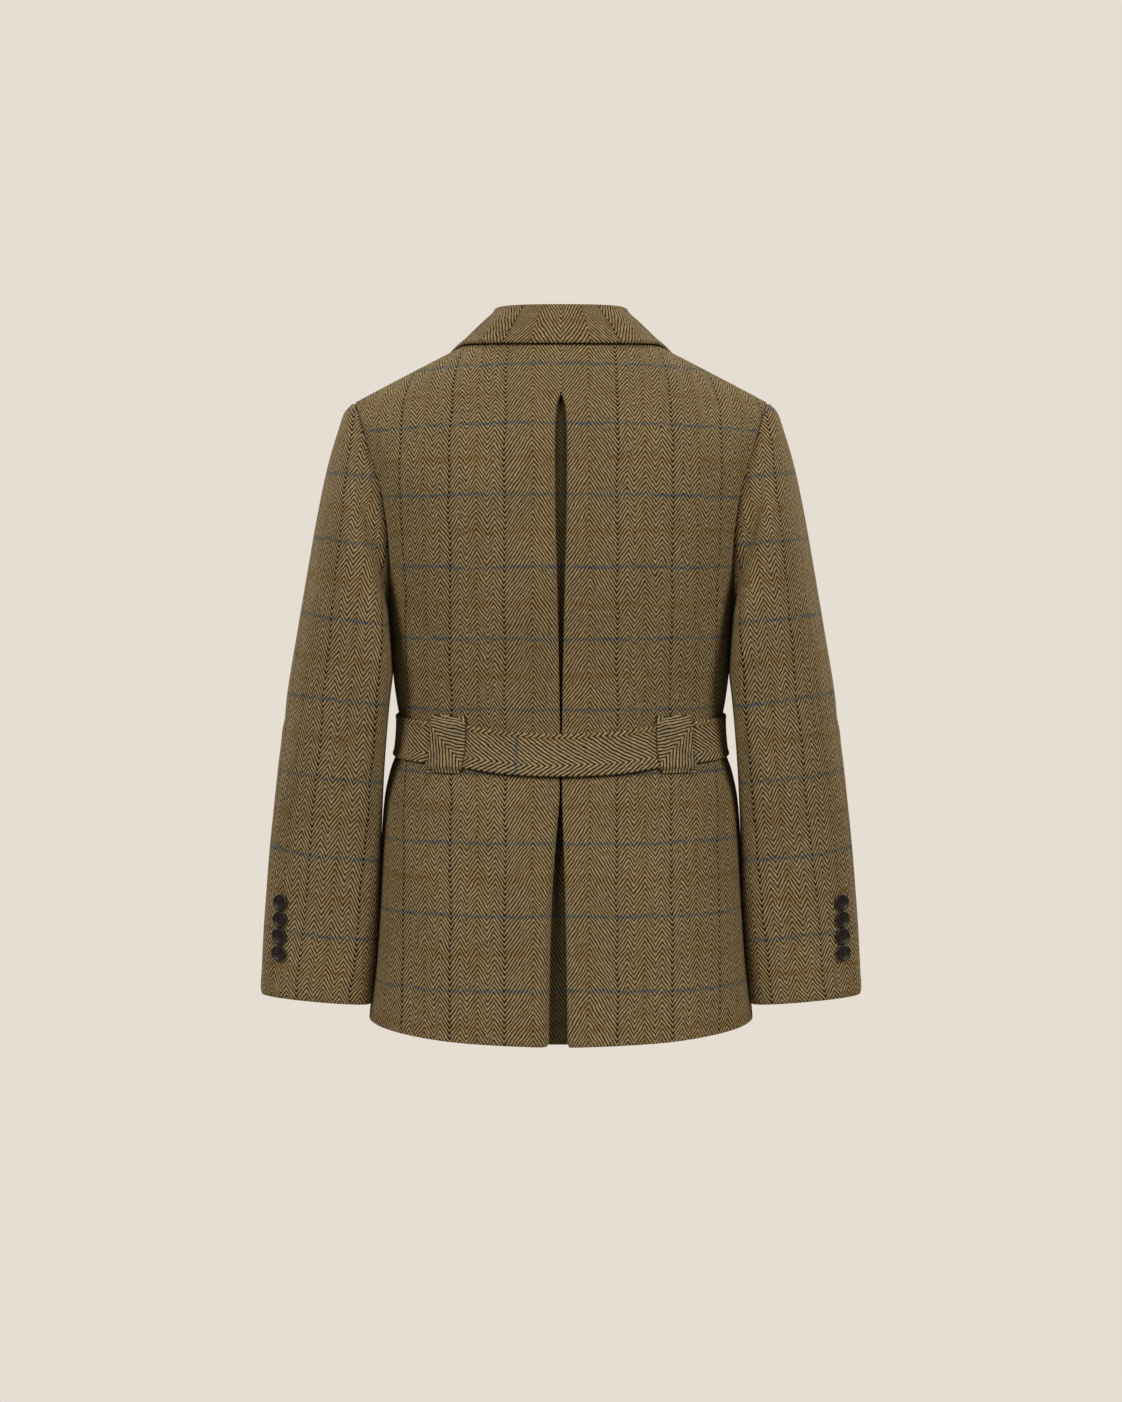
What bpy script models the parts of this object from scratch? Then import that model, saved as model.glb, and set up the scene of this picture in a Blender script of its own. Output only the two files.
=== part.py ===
"""Belted tweed jacket, filled out as worn, with one object for each piece that is cut and sewn on.

Metres, +Z up. The front faces -Y and the wearer's left is +X. The origin is the middle of the
neck opening, level with the upper ends of the shoulder seams.
"""

import math
from collections import namedtuple

import bmesh
import bpy
from mathutils import Vector

# Cloth
WALL = 0.0022
COLLAR_WALL = 0.0020
BELT_WALL = 0.0030
SEAM_GAP = 0.0003
EDGE_STRIP = 0.0020

# Levels and widths of the body
NECK_HEIGHT = 0.0
NECK_HALF = 0.0755
SHOULDER_HEIGHT = -0.0705
SHOULDER_HALF = 0.2130
UNDERARM_HEIGHT = -0.2746
HEM_HEIGHT = -0.7105
HEM_DIP = 0.0100
HEM_DIP_TOP = -0.6200

# Horizontal sections of the body below the shoulder, from the hem up
Section = namedtuple("Section", "height half_width back_depth front_depth back_power front_power")
SECTIONS = (
    Section(-0.720, 0.2010, 0.1320, 0.1310, 2.65, 2.40),
    Section(-0.690, 0.1980, 0.1305, 0.1305, 2.65, 2.40),
    Section(-0.640, 0.1927, 0.1265, 0.1290, 2.65, 2.40),
    Section(-0.587, 0.1897, 0.1215, 0.1260, 2.60, 2.40),
    Section(-0.530, 0.1870, 0.1155, 0.1220, 2.55, 2.40),
    Section(-0.482, 0.1835, 0.1085, 0.1180, 2.50, 2.40),
    Section(-0.451, 0.1772, 0.1025, 0.1150, 2.50, 2.40),
    Section(-0.425, 0.1688, 0.0990, 0.1130, 2.50, 2.40),
    Section(-0.400, 0.1672, 0.0985, 0.1125, 2.50, 2.40),
    Section(-0.380, 0.1702, 0.1002, 0.1135, 2.50, 2.40),
    Section(-0.358, 0.1732, 0.1030, 0.1150, 2.50, 2.40),
    Section(-0.316, 0.1770, 0.1100, 0.1195, 2.55, 2.35),
    Section(-0.2746, 0.1800, 0.1165, 0.1230, 2.60, 2.35),
    Section(-0.220, 0.1880, 0.1210, 0.1235, 2.60, 2.30),
    Section(-0.170, 0.1975, 0.1215, 0.1180, 2.55, 2.30),
    Section(-0.120, 0.2130, 0.1160, 0.1070, 2.45, 2.25),
    Section(-0.0705, 0.2350, 0.1043, 0.0905, 2.30, 2.20),
    Section(-0.055, 0.2420, 0.1006, 0.0850, 2.25, 2.20),
    Section(-0.035, 0.2500, 0.0969, 0.0790, 2.20, 2.15),
    Section(-0.0146, 0.2570, 0.0921, 0.0730, 2.15, 2.10),
    Section(0.000, 0.2600, 0.0881, 0.0695, 2.10, 2.10),
)
SHOULDER_DROP = 0.120
NAPE_ROUND = 0.035

# The armhole seam, as its distance from the middle at each level
Armhole = namedtuple("Armhole", "height back_across front_across")
ARMHOLE = (
    Armhole(-0.2746, 0.1800, 0.1800),
    Armhole(-0.270, 0.1786, 0.1782),
    Armhole(-0.262, 0.1768, 0.1745),
    Armhole(-0.245, 0.1758, 0.1705),
    Armhole(-0.220, 0.1765, 0.1685),
    Armhole(-0.193, 0.1790, 0.1680),
    Armhole(-0.167, 0.1832, 0.1695),
    Armhole(-0.140, 0.1898, 0.1755),
    Armhole(-0.120, 0.1970, 0.1835),
    Armhole(-0.098, 0.2035, 0.1940),
    Armhole(-0.078, 0.2095, 0.2072),
    Armhole(-0.0705, 0.2130, 0.2130),
)

# Zones of the back and front panels from the hem up: rows of faces, closer towards one end
Zone = namedtuple("Zone", "name top rows ease closer_at")
ZONES = (
    Zone("skirt", -0.4620, 7, 1.0, "low"),
    Zone("belt", -0.3880, 3, 1.0, "low"),
    Zone("waist", UNDERARM_HEIGHT, 4, 1.0, "low"),
    Zone("underarm", -0.1900, 6, 2.3, "low"),
    Zone("armhole", SHOULDER_HEIGHT, 7, 1.5, "high"),
    Zone("shoulder", NECK_HEIGHT, 5, 1.0, "low"),
)
BACK_COLUMNS = 8
FRONT_COLUMNS = 10

# Middle pleat above the belt and vent below it: half opening and turned-in edge of each half
Pleat = namedtuple("Pleat", "height left_gap right_gap left_roll right_roll share")
PLEAT = (
    Pleat(-0.716, 0.0128, 0.0066, 0.0055, 0.0026, 1.0),
    Pleat(-0.640, 0.0112, 0.0054, 0.0055, 0.0026, 1.0),
    Pleat(-0.570, 0.0090, 0.0040, 0.0050, 0.0026, 1.0),
    Pleat(-0.510, 0.0048, 0.0022, 0.0042, 0.0026, 1.0),
    Pleat(-0.465, 0.0012, 0.0008, 0.0030, 0.0026, 1.0),
    Pleat(-0.415, 0.0008, 0.0008, 0.0028, 0.0028, 1.0),
    Pleat(-0.360, 0.0015, 0.0015, 0.0030, 0.0030, 1.0),
    Pleat(-0.300, 0.0028, 0.0028, 0.0032, 0.0032, 1.0),
    Pleat(-0.225, 0.0044, 0.0044, 0.0034, 0.0034, 1.0),
    Pleat(-0.170, 0.0056, 0.0056, 0.0034, 0.0034, 1.0),
    Pleat(-0.100, 0.0056, 0.0056, 0.0030, 0.0030, 1.0),
    Pleat(-0.080, 0.0048, 0.0048, 0.0028, 0.0028, 1.0),
    Pleat(-0.068, 0.0030, 0.0030, 0.0026, 0.0026, 0.8),
    Pleat(-0.0564, 0.0, 0.0, 0.0026, 0.0026, 0.0),
    Pleat(0.0, 0.0, 0.0, 0.0026, 0.0026, 0.0),
)
PLEAT_DEPTH = 0.0066
PLEAT_FLAT = (0.0, 0.0008, 0.0016, 0.0028)
UNDERLAY_HALF = 0.030
UNDERLAY_TOP = -0.046
UNDERLAY_HEM_RISE = 0.0020

# Front edge: the roll line down to the break, the button stand, the rounded corner at the hem
FrontEdge = namedtuple("FrontEdge", "height across")
FRONT_EDGE = (
    FrontEdge(-0.716, 0.0520),
    FrontEdge(-0.700, 0.0240),
    FrontEdge(-0.680, 0.0040),
    FrontEdge(-0.655, -0.0080),
    FrontEdge(-0.610, -0.0160),
    FrontEdge(-0.540, -0.0200),
    FrontEdge(-0.330, -0.0200),
    FrontEdge(-0.300, -0.0160),
    FrontEdge(-0.285, -0.0120),
    FrontEdge(-0.200, 0.0125),
    FrontEdge(-0.100, 0.0412),
    FrontEdge(-0.040, 0.0585),
    FrontEdge(0.000, 0.0700),
)
UNDER_SINK = 0.0034
UNDER_SINK_FROM = 0.060
UNDER_SINK_FULL = 0.024

# Lapel outline in the front view, beside its roll line; gorge shapes the upper edge into a notch
Lapel = namedtuple("Lapel", "roll_height edge_across edge_height lift gorge")
LAPEL = (
    Lapel(-0.276, 0.0030, -0.2780, 0.0038, 0.0),
    Lapel(-0.266, 0.0145, -0.2690, 0.0042, 0.0),
    Lapel(-0.252, 0.0290, -0.2560, 0.0048, 0.0),
    Lapel(-0.225, 0.0560, -0.2290, 0.0054, 0.0),
    Lapel(-0.190, 0.0850, -0.1930, 0.0062, 0.0),
    Lapel(-0.150, 0.1120, -0.1500, 0.0066, 0.0),
    Lapel(-0.110, 0.1320, -0.1120, 0.0066, 0.0),
    Lapel(-0.075, 0.1420, -0.0920, 0.0064, 0.0),
    Lapel(-0.0440, 0.1440, -0.0830, 0.0062, 1.0),
)
LAPEL_TUCK = 0.0090
GORGE_SLOPE = -0.19
GORGE_SHARE = 0.54
LAPEL_LIE = 0.0039
LAPEL_COLUMNS = (0.05, 0.14, 0.32, 0.54, 0.77, 1.0)
LAPEL_CURL = 0.0028

# Collar stations from the middle of the back round to the gorge
Collar = namedtuple(
    "Collar", "station seam_turn seam_height fold_across fold_depth fold_height edge_turn edge_height lie")
COLLAR = (
    Collar(0.00, 0, 0.0, 0.0000, 0.0560, 0.0282, 0, -0.0122, 0.0042),
    Collar(0.14, 22, 0.0, 0.0258, 0.0515, 0.0283, 22, -0.0122, 0.0042),
    Collar(0.28, 45, 0.0, 0.0475, 0.0390, 0.0283, 45, -0.0118, 0.0044),
    Collar(0.42, 67, 0.0, 0.0620, 0.0205, 0.0274, 68, -0.0112, 0.0042),
    Collar(0.55, 90, 0.0, 0.0664, 0.0000, 0.0262, 90, -0.0130, 0.0034),
    Collar(0.68, 125, -0.003, 0.0640, -0.0230, 0.0175, 108, -0.0225, 0.0034),
    Collar(0.80, 140, -0.013, 0.0612, -0.0480, -0.0005, 119, -0.0325, 0.0036),
    Collar(0.91, 150, -0.024, 0.0590, -0.0670, -0.0210, 129, -0.0420, 0.0036),
    Collar(1.00, 156, -0.0345, 0.0566, -0.0775, -0.0380, 137, -0.0500, 0.0036),
)
COLLAR_STATIONS = 15
COLLAR_FOLD = 0.0032
COLLAR_BULGE = 0.0016

# Sleeve rings from just below the shoulder to the cuff: outer line, inner line and half depths
Ring = namedtuple("Ring", "outer_x outer_z inner_x inner_z outer_y inner_y back_half front_half hind_power")
RINGS = (
    Ring(0.2228, -0.0790, 0.1814, -0.2790, 0.000, 0.001, 0.0635, 0.0705, 3.00),
    Ring(0.2305, -0.1000, 0.1808, -0.2860, 0.000, 0.003, 0.0680, 0.0735, 3.00),
    Ring(0.2412, -0.1360, 0.1794, -0.2990, 0.000, 0.007, 0.0705, 0.0740, 3.00),
    Ring(0.2516, -0.1840, 0.1776, -0.3190, 0.000, 0.012, 0.0700, 0.0720, 3.00),
    Ring(0.2628, -0.2450, 0.1762, -0.3450, -0.001, 0.016, 0.0675, 0.0685, 3.00),
    Ring(0.2738, -0.3079, 0.1768, -0.3760, -0.001, 0.020, 0.0625, 0.0620, 3.00),
    Ring(0.2836, -0.3657, 0.1794, -0.4080, 0.000, 0.023, 0.0575, 0.0575, 2.78),
    Ring(0.2923, -0.4322, 0.1828, -0.4540, 0.003, 0.027, 0.0510, 0.0525, 2.37),
    Ring(0.2994, -0.4983, 0.1852, -0.5120, 0.007, 0.030, 0.0440, 0.0470, 2.15),
    Ring(0.3052, -0.5630, 0.1874, -0.5760, 0.012, 0.033, 0.0370, 0.0420, 2.15),
    Ring(0.3095, -0.6216, 0.1913, -0.6330, 0.016, 0.034, 0.0310, 0.0380, 2.15),
    Ring(0.3121, -0.6805, 0.1960, -0.6890, 0.020, 0.035, 0.0270, 0.0340, 2.15),
)
RING_POWER = 2.15
HIND_SEAM_ROW = 10
FORE_SEAM_ROW = 8
HIND_SEAM_CUFF = 0.97
FORE_SEAM_CUFF = -0.66
SPREAD_RINGS = 5.0

# Belt with its sag at the middle of the back, and its two loops
Belt = namedtuple("Belt", "turn middle stand_off")
BELT = (
    Belt(-192, -0.4120, 0.0012),
    Belt(-90, -0.4138, 0.0012),
    Belt(-43, -0.4187, 0.0012),
    Belt(-18, -0.4265, 0.0024),
    Belt(0, -0.4285, 0.0030),
    Belt(18, -0.4265, 0.0024),
    Belt(43, -0.4187, 0.0012),
    Belt(90, -0.4138, 0.0012),
    Belt(150, -0.4120, 0.0012),
    Belt(166, -0.4120, 0.0050),
    Belt(198, -0.4120, 0.0050),
)
BELT_WIDTH = 0.0420
BELT_STEPS = 74
BELT_TIP = 6.0
LOOP_TURN = 42.9
LOOP_WIDTH = 0.0370
LOOP_COLUMNS = 5
Loop = namedtuple("Loop", "height lift")
LOOP = (
    Loop(-0.4475, 0.0026),
    Loop(-0.4455, 0.0030),
    Loop(-0.4425, 0.0066),
    Loop(-0.4370, 0.0072),
    Loop(-0.4187, 0.0074),
    Loop(-0.4005, 0.0072),
    Loop(-0.3950, 0.0066),
    Loop(-0.3920, 0.0030),
    Loop(-0.3895, 0.0026),
)
LOOP_WALL = 0.0020

# Buttons: dished, with a raised rim
BUTTON_RADIUS = 0.0086
BUTTON_THICK = 0.0034
BUTTON_RIM = 0.0022
BUTTON_DISH = 0.0010
BUTTON_STEPS = 16
BUTTON_CLEAR = 0.0004
CUFF_BUTTON_HEIGHTS = (-0.5846, -0.6022, -0.6198, -0.6374)
CUFF_BUTTON_AROUND = 0.236
FRONT_BUTTON_HEIGHTS = (-0.3000, -0.5250)
BELT_BUTTON_TURN = 181.0
BELT_BUTTON_SCALE = 1.2

TWEED = (0.159, 0.109, 0.053)
SHADED_TWEED = (0.080, 0.054, 0.024)
HORN = (0.028, 0.020, 0.014)


def smooth(knots, values, at):
    """Value of a curve through the knots that never overshoots them."""
    if at <= knots[0]:
        return values[0]
    if at >= knots[-1]:
        return values[-1]
    steps = [b - a for a, b in zip(knots, knots[1:])]
    slopes = [(b - a) / step for a, b, step in zip(values, values[1:], steps)]
    tangents = [slopes[0]]
    for before, after, left, right in zip(slopes, slopes[1:], steps, steps[1:]):
        if before * after <= 0.0:
            tangents.append(0.0)
            continue
        first = 2.0 * right + left
        second = right + 2.0 * left
        tangents.append((first + second) / (first / before + second / after))
    tangents.append(slopes[-1])
    index = max(i for i, knot in enumerate(knots[:-1]) if knot <= at)
    width = steps[index]
    t = (at - knots[index]) / width
    start = (1.0 + 2.0 * t) * (1.0 - t) ** 2 * values[index]
    start += t * (1.0 - t) ** 2 * width * tangents[index]
    end = t * t * (3.0 - 2.0 * t) * values[index + 1]
    end += t * t * (t - 1.0) * width * tangents[index + 1]
    return start + end


def read(rows, name, at):
    """Value of a named column of a table, between its rows."""
    return smooth([row[0] for row in rows], [getattr(row, name) for row in rows], at)


def blend(low, high, at):
    """Soft step from 0 at low to 1 at high."""
    t = min(max((at - low) / (high - low), 0.0), 1.0)
    return t * t * (3.0 - 2.0 * t)


def panel_levels():
    """Levels of the rows of faces in the back and front panels."""
    levels = [HEM_HEIGHT]
    for zone in ZONES:
        low = levels[-1]
        for i in range(1, zone.rows + 1):
            share = i / zone.rows
            share = share ** zone.ease if zone.closer_at == "low" else 1.0 - (1.0 - share) ** zone.ease
            levels.append(low * (1.0 - share) + zone.top * share)
    return levels


def ridge_slope():
    """Fall of the shoulder line over its run, the run being rounded towards the nape."""
    run = math.hypot(SHOULDER_HALF, NAPE_ROUND) - math.hypot(NECK_HALF, NAPE_ROUND)
    return (SHOULDER_HEIGHT - NECK_HEIGHT) / run


def ridge_height(across):
    """Height of the shoulder line at a distance from the middle."""
    run = math.hypot(across, NAPE_ROUND) - math.hypot(NECK_HALF, NAPE_ROUND)
    return NECK_HEIGHT + run * ridge_slope()


def half_width(height):
    """Half width of the body; at the shoulders it is where the section meets the shoulder line."""
    run = math.hypot(NECK_HALF, NAPE_ROUND) + (height - NECK_HEIGHT) / ridge_slope()
    shoulder = math.sqrt(max(run * run - NAPE_ROUND * NAPE_ROUND, 0.0))
    return min(read(SECTIONS, "half_width", height), shoulder)


def body_at(turn, height):
    """Point of the body's outer face; turn is 0 at the middle of the back, 90 degrees at the left."""
    across = half_width(height) * math.sin(turn)
    side = "back" if math.cos(turn) >= 0.0 else "front"
    depth = read(SECTIONS, side + "_depth", height)
    power = read(SECTIONS, side + "_power", height)
    reach = abs(across) / read(SECTIONS, "half_width", height)
    depth *= max(1.0 - reach ** power, 0.0) ** (1.0 / power)
    drop = min(max((ridge_height(across) - height) / SHOULDER_DROP, 0.0), 1.0)
    depth *= math.sqrt(1.0 - (1.0 - drop) ** 2)
    return Vector((across, depth if side == "back" else -depth, height))


def body_normal(turn, height):
    """Outward direction of the body's outer face."""
    across = body_at(turn + 0.02, height) - body_at(turn - 0.02, height)
    upward = body_at(turn, height + 0.001) - body_at(turn, height - 0.001)
    return upward.cross(across).normalized()


def lifted(turn, height, lift):
    """Point of the body's outer face moved out by lift."""
    return body_at(turn, height) + body_normal(turn, height) * lift


def back_turn(across, height):
    """Turn of the point of the back at a distance from the middle."""
    return math.asin(max(-1.0, min(1.0, across / half_width(height))))


def front_turn(across, height):
    """Turn of the point of the front at a distance from the middle."""
    return math.pi - back_turn(across, height)


def hem_level(level, turn):
    """Level of a row of the panel; the hem dips a little towards the middle of back and front."""
    return level - HEM_DIP * math.cos(turn) ** 2 * blend(HEM_DIP_TOP, HEM_HEIGHT, level)


def trace(level, turn_from, turn_to, steps=120):
    """Closely spaced turns and points along a row of the body."""
    turns = [turn_from + (turn_to - turn_from) * i / steps for i in range(steps + 1)]
    return turns, [body_at(turn, hem_level(level, turn)) for turn in turns]


def lengths(points):
    """Distance of each point from the first one along the line."""
    total = [0.0]
    for a, b in zip(points, points[1:]):
        total.append(total[-1] + (b - a).length)
    return total


def pick(run, items, distance):
    """Item at a distance along a line whose points have the run of distances."""
    distance = min(max(distance, 0.0), run[-1])
    index = 0
    while index < len(run) - 2 and run[index + 1] < distance:
        index += 1
    span = run[index + 1] - run[index]
    share = (distance - run[index]) / span if span > 0.0 else 0.0
    return items[index] + (items[index + 1] - items[index]) * share


def spread(start, end, count):
    """Distances from start to end with a narrow strip at the end."""
    inner = end - EDGE_STRIP
    return [start + (inner - start) * i / (count - 2) for i in range(count - 1)] + [end]


def mirrored(point, hand):
    """The point on the wearer's left for hand 1 and on the right for hand -1."""
    return Vector((point.x * hand, point.y, point.z))


def loft(name, rows, wall, colour, flip=False, roughness=0.92):
    """Sheet through rows of points, thickened inwards to a wall."""
    mesh = bpy.data.meshes.new(name)
    work = bmesh.new()
    grid = [[work.verts.new(point) for point in row] for row in rows]
    for low, high in zip(grid, grid[1:]):
        for i in range(len(low) - 1):
            face = [low[i], high[i], high[i + 1], low[i + 1]]
            work.faces.new(face[::-1] if flip else face)
    work.to_mesh(mesh)
    work.free()
    mesh.shade_smooth()
    piece = place(name, mesh, colour, roughness)
    thicken = piece.modifiers.new("Wall", "SOLIDIFY")
    thicken.thickness = wall
    thicken.offset = -1.0
    return piece


def place(name, mesh, colour, roughness):
    """Object of the jacket with a material of its own."""
    material = bpy.data.materials.new(name)
    material.use_nodes = True
    shader = material.node_tree.nodes["Principled BSDF"]
    shader.inputs["Base Color"].default_value = (*colour, 1.0)
    shader.inputs["Roughness"].default_value = roughness
    shader.inputs["Metallic"].default_value = 0.0
    material.diffuse_color = (*colour, 1.0)
    mesh.materials.append(material)
    piece = bpy.data.objects.new(name, mesh)
    bpy.data.collections["jacket"].objects.link(piece)
    return piece


def outer_turn(side, level):
    """Turn at which a panel ends: side seam, armhole or shoulder seam."""
    if level <= UNDERARM_HEIGHT or level >= SHOULDER_HEIGHT:
        return math.pi / 2.0
    across = read(ARMHOLE, side + "_across", level)
    return back_turn(across, level) if side == "back" else front_turn(across, level)


def outer_gap(level):
    """Half gap at the end of a row, wider where the shoulder line turns sharply."""
    return SEAM_GAP / 2.0 * (1.0 + 1.5 * blend(-0.090, -0.070, level))


def back_row(hand, level):
    """Row of a back half from its turned-in middle edge to the side."""
    side = "left" if hand > 0 else "right"
    gap = read(PLEAT, side + "_gap", level) + SEAM_GAP / 2.0
    roll = read(PLEAT, side + "_roll", level)
    share = read(PLEAT, "share", level)
    turns, points = trace(level, back_turn(gap, level), outer_turn("back", level))
    run = lengths(points)
    rolled = (0.0, 0.0, 0.293 * roll, roll)
    depths = (PLEAT_DEPTH, roll, 0.293 * roll, 0.0)
    leads = [flat + (turned - flat) * share for flat, turned in zip(PLEAT_FLAT, rolled)]
    row = []
    for lead, depth in zip(leads, depths):
        turn = pick(run, turns, lead)
        row.append(lifted(turn, hem_level(level, turn), -depth * share))
    rest = spread(leads[-1], run[-1] - outer_gap(level), BACK_COLUMNS)[1:]
    row += [pick(run, points, distance) for distance in rest]
    return [mirrored(point, hand) for point in row]


def front_sink(hand, across):
    """How far the front that lies underneath is sunk near the closing edge."""
    if hand > 0:
        return 0.0
    return UNDER_SINK * (1.0 - blend(UNDER_SINK_FULL, UNDER_SINK_FROM, across))


def front_point(hand, across, height, lift):
    """Point over a front, in the wearer's left-hand layout."""
    turn = front_turn(across, height)
    return lifted(turn, hem_level(height, turn), lift - front_sink(hand, across))


def front_row(hand, level):
    """Row of a front from its closing edge to the side."""
    edge = read(FRONT_EDGE, "across", level)
    turns, points = trace(level, front_turn(edge, level), outer_turn("front", level))
    run = lengths(points)
    row = []
    for distance in spread(0.0, run[-1] - outer_gap(level), FRONT_COLUMNS):
        point = pick(run, points, distance)
        turn = pick(run, turns, distance)
        if front_sink(hand, point.x) > 0.0:
            point = lifted(turn, hem_level(level, turn), -front_sink(hand, point.x))
        row.append(mirrored(point, hand))
    return row


def lapel_row(hand, lapel):
    """Row of a lapel from its curled roll edge, or from under the other front, to its free edge."""
    height = lapel.roll_height
    roll = read(FRONT_EDGE, "across", height)
    if hand < 0:
        roll = max(roll, LAPEL_TUCK - roll)
    row = [
        front_point(1, roll - LAPEL_CURL, height, -0.0006),
        front_point(1, roll - LAPEL_CURL - 0.0004, height, lapel.lift * 0.55),
        front_point(1, roll - LAPEL_CURL * 0.5, height, lapel.lift * 0.92),
    ]
    for share in LAPEL_COLUMNS:
        across = roll + (lapel.edge_across - roll) * share
        level = height + (lapel.edge_height - height) * share
        seam = height + GORGE_SLOPE * (across - roll)
        end = height + GORGE_SLOPE * (lapel.edge_across - roll)
        notch = max(0.0, (share - GORGE_SHARE) / (1.0 - GORGE_SHARE))
        level += (seam + (lapel.edge_height - end) * notch - level) * lapel.gorge
        rise = LAPEL_LIE + (lapel.lift - LAPEL_LIE) * (1.0 - share) ** 2
        row.append(front_point(1, across, level, rise))
    return [mirrored(point, hand) for point in row]


def collar_row(station, hand):
    """Section of the collar from the neck seam over the fold to the free edge."""
    value = {name: read(COLLAR, name, station) for name in Collar._fields[1:]}
    seam_turn = math.radians(value["seam_turn"])
    edge_turn = math.radians(value["edge_turn"])
    outward = Vector((math.sin(seam_turn), math.cos(seam_turn), 0.0))
    up = Vector((0.0, 0.0, 1.0))
    front_share = blend(0.52, 0.66, station)
    seam = body_at(seam_turn, value["seam_height"]) - outward * (0.0016 + 0.0032 * front_share)
    seam += Vector((-0.0014 * front_share, 0.0, 0.0009))
    fold = Vector((value["fold_across"], value["fold_depth"], value["fold_height"]))
    edge = lifted(edge_turn, value["edge_height"], value["lie"])
    inner = fold - outward * COLLAR_FOLD - up * COLLAR_FOLD
    outer = fold + outward * COLLAR_FOLD - up * COLLAR_FOLD
    row = [seam, seam.lerp(inner, 0.55), inner, fold - outward * 0.0018 - up * 0.0006]
    row += [fold + outward * 0.0018 - up * 0.0006, outer]
    away = body_normal(edge_turn, value["edge_height"])
    for share in (0.33, 0.66, 1.0):
        bulge = COLLAR_BULGE * 4.0 * share * (1.0 - share)
        row.append(outer.lerp(edge, share) + away * bulge)
    return [mirrored(point, hand) for point in row]


def armhole_half(side):
    """Armhole seam from the shoulder point to the underarm, on the edge points of the panel."""
    levels = [level for level in panel_levels()[::-1] if UNDERARM_HEIGHT <= level <= SHOULDER_HEIGHT]
    return [body_at(outer_turn(side, level), level) for level in levels]


def ring_half(ring, side):
    """Half of a sleeve ring from its outer line to its inner line."""
    outer = Vector((ring.outer_x, ring.outer_y, ring.outer_z))
    inner = Vector((ring.inner_x, ring.inner_y, ring.inner_z))
    middle = (outer + inner) / 2.0
    reach = (outer - inner) / 2.0
    depth = ring.back_half if side == "back" else -ring.front_half
    points = []
    for i in range(241):
        angle = math.pi * i / 240
        power = ring.hind_power if side == "back" and 2 * i > 240 else RING_POWER
        cosine = math.copysign(abs(math.cos(angle)) ** (2.0 / power), math.cos(angle))
        sine = max(math.sin(angle), 0.0) ** (2.0 / power)
        points.append(middle + reach * cosine + Vector((0.0, depth * sine, 0.0)))
    return points


def sleeve_lines():
    """Arc-length lines of the armhole and of every ring, for the back and the front half."""
    halves = {}
    for side in ("back", "front"):
        lines = [armhole_half(side)] + [ring_half(ring, side) for ring in RINGS]
        halves[side] = [(lengths(line), line) for line in lines]
    return halves


def sleeve_at(lines, index, around):
    """Point of a sleeve ring; around is 0 on the outer line and 1 or -1 on the inner line."""
    run, points = lines["back" if around >= 0.0 else "front"][index]
    return pick(run, points, abs(around) * run[-1])


def armhole_strip(lines, around):
    """The two first points of the sleeve: at the seam, and a strip further on."""
    start = sleeve_at(lines, 0, around)
    onward = (sleeve_at(lines, 1, around) - start).normalized()
    along = sleeve_at(lines, 0, around + 0.01) - sleeve_at(lines, 0, around - 0.01)
    turn = back_turn(start.x, start.z) if around >= 0.0 else front_turn(start.x, start.z)
    outward = body_normal(turn, start.z)
    flat = along.cross(outward).normalized()
    if flat.dot(onward) < 0.0:
        flat = -flat
    share = 1.0 - blend(0.30, 0.62, abs(around))
    leave = (flat * share + onward * (1.0 - share)).normalized()
    start = start + outward * SEAM_GAP * 1.6 * (1.0 - share)
    gap = SEAM_GAP * (1.0 + 3.2 * (1.0 - blend(0.04, 0.22, abs(around))))
    return start + leave * gap, start + leave * (gap + EDGE_STRIP)


def sleeve_columns(part, lines, index):
    """Places round a ring of the columns of faces of the top or the under sleeve."""
    back_run = lines["back"][0][0]
    front_run = lines["front"][0][0]
    back = [distance / back_run[-1] for distance in back_run]
    front = [-distance / front_run[-1] for distance in front_run]
    if part == "top":
        first = front[FORE_SEAM_ROW::-1] + back[1:HIND_SEAM_ROW + 1]
        ends = (FORE_SEAM_CUFF, HIND_SEAM_CUFF)
    else:
        first = back[HIND_SEAM_ROW:] + [2.0 + place for place in front[-2:FORE_SEAM_ROW - 1:-1]]
        ends = (HIND_SEAM_CUFF, 2.0 + FORE_SEAM_CUFF)
    share = max(index, 0) / len(RINGS)
    start = first[0] + (ends[0] - first[0]) * share
    end = first[-1] + (ends[1] - first[-1]) * share
    even = [start + (end - start) * i / (len(first) - 1) for i in range(len(first))]
    share = blend(0.0, SPREAD_RINGS, max(index, 0))
    places = [a + (b - a) * share for a, b in zip(first, even)]
    places[0], places[-1] = start, end
    return places


def sleeve_rows(hand, part, lines):
    """Rows of the top or the under sleeve from the armhole to the cuff."""
    rows = []
    for index in range(-1, len(RINGS) + 1):
        places = sleeve_columns(part, lines, index)
        girth = sum(half[max(index, 0)][0][-1] for half in lines.values()) / 2.0
        slant = 1.0 - blend(1.0, SPREAD_RINGS, index)
        half_gap = SEAM_GAP / 2.0 * (1.6 + 4.0 * slant) / girth
        strip = half_gap + EDGE_STRIP / girth
        places = [places[0] + half_gap, places[0] + strip] + places[1:-1] + [
            places[-1] - strip, places[-1] - half_gap]
        row = []
        for around in places:
            around = around - 2.0 if around > 1.0 else around
            if index <= 0:
                row.append(armhole_strip(lines, around)[index + 1])
            else:
                row.append(sleeve_at(lines, index, around))
        rows.append([mirrored(point, hand) for point in row])
    return rows


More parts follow.
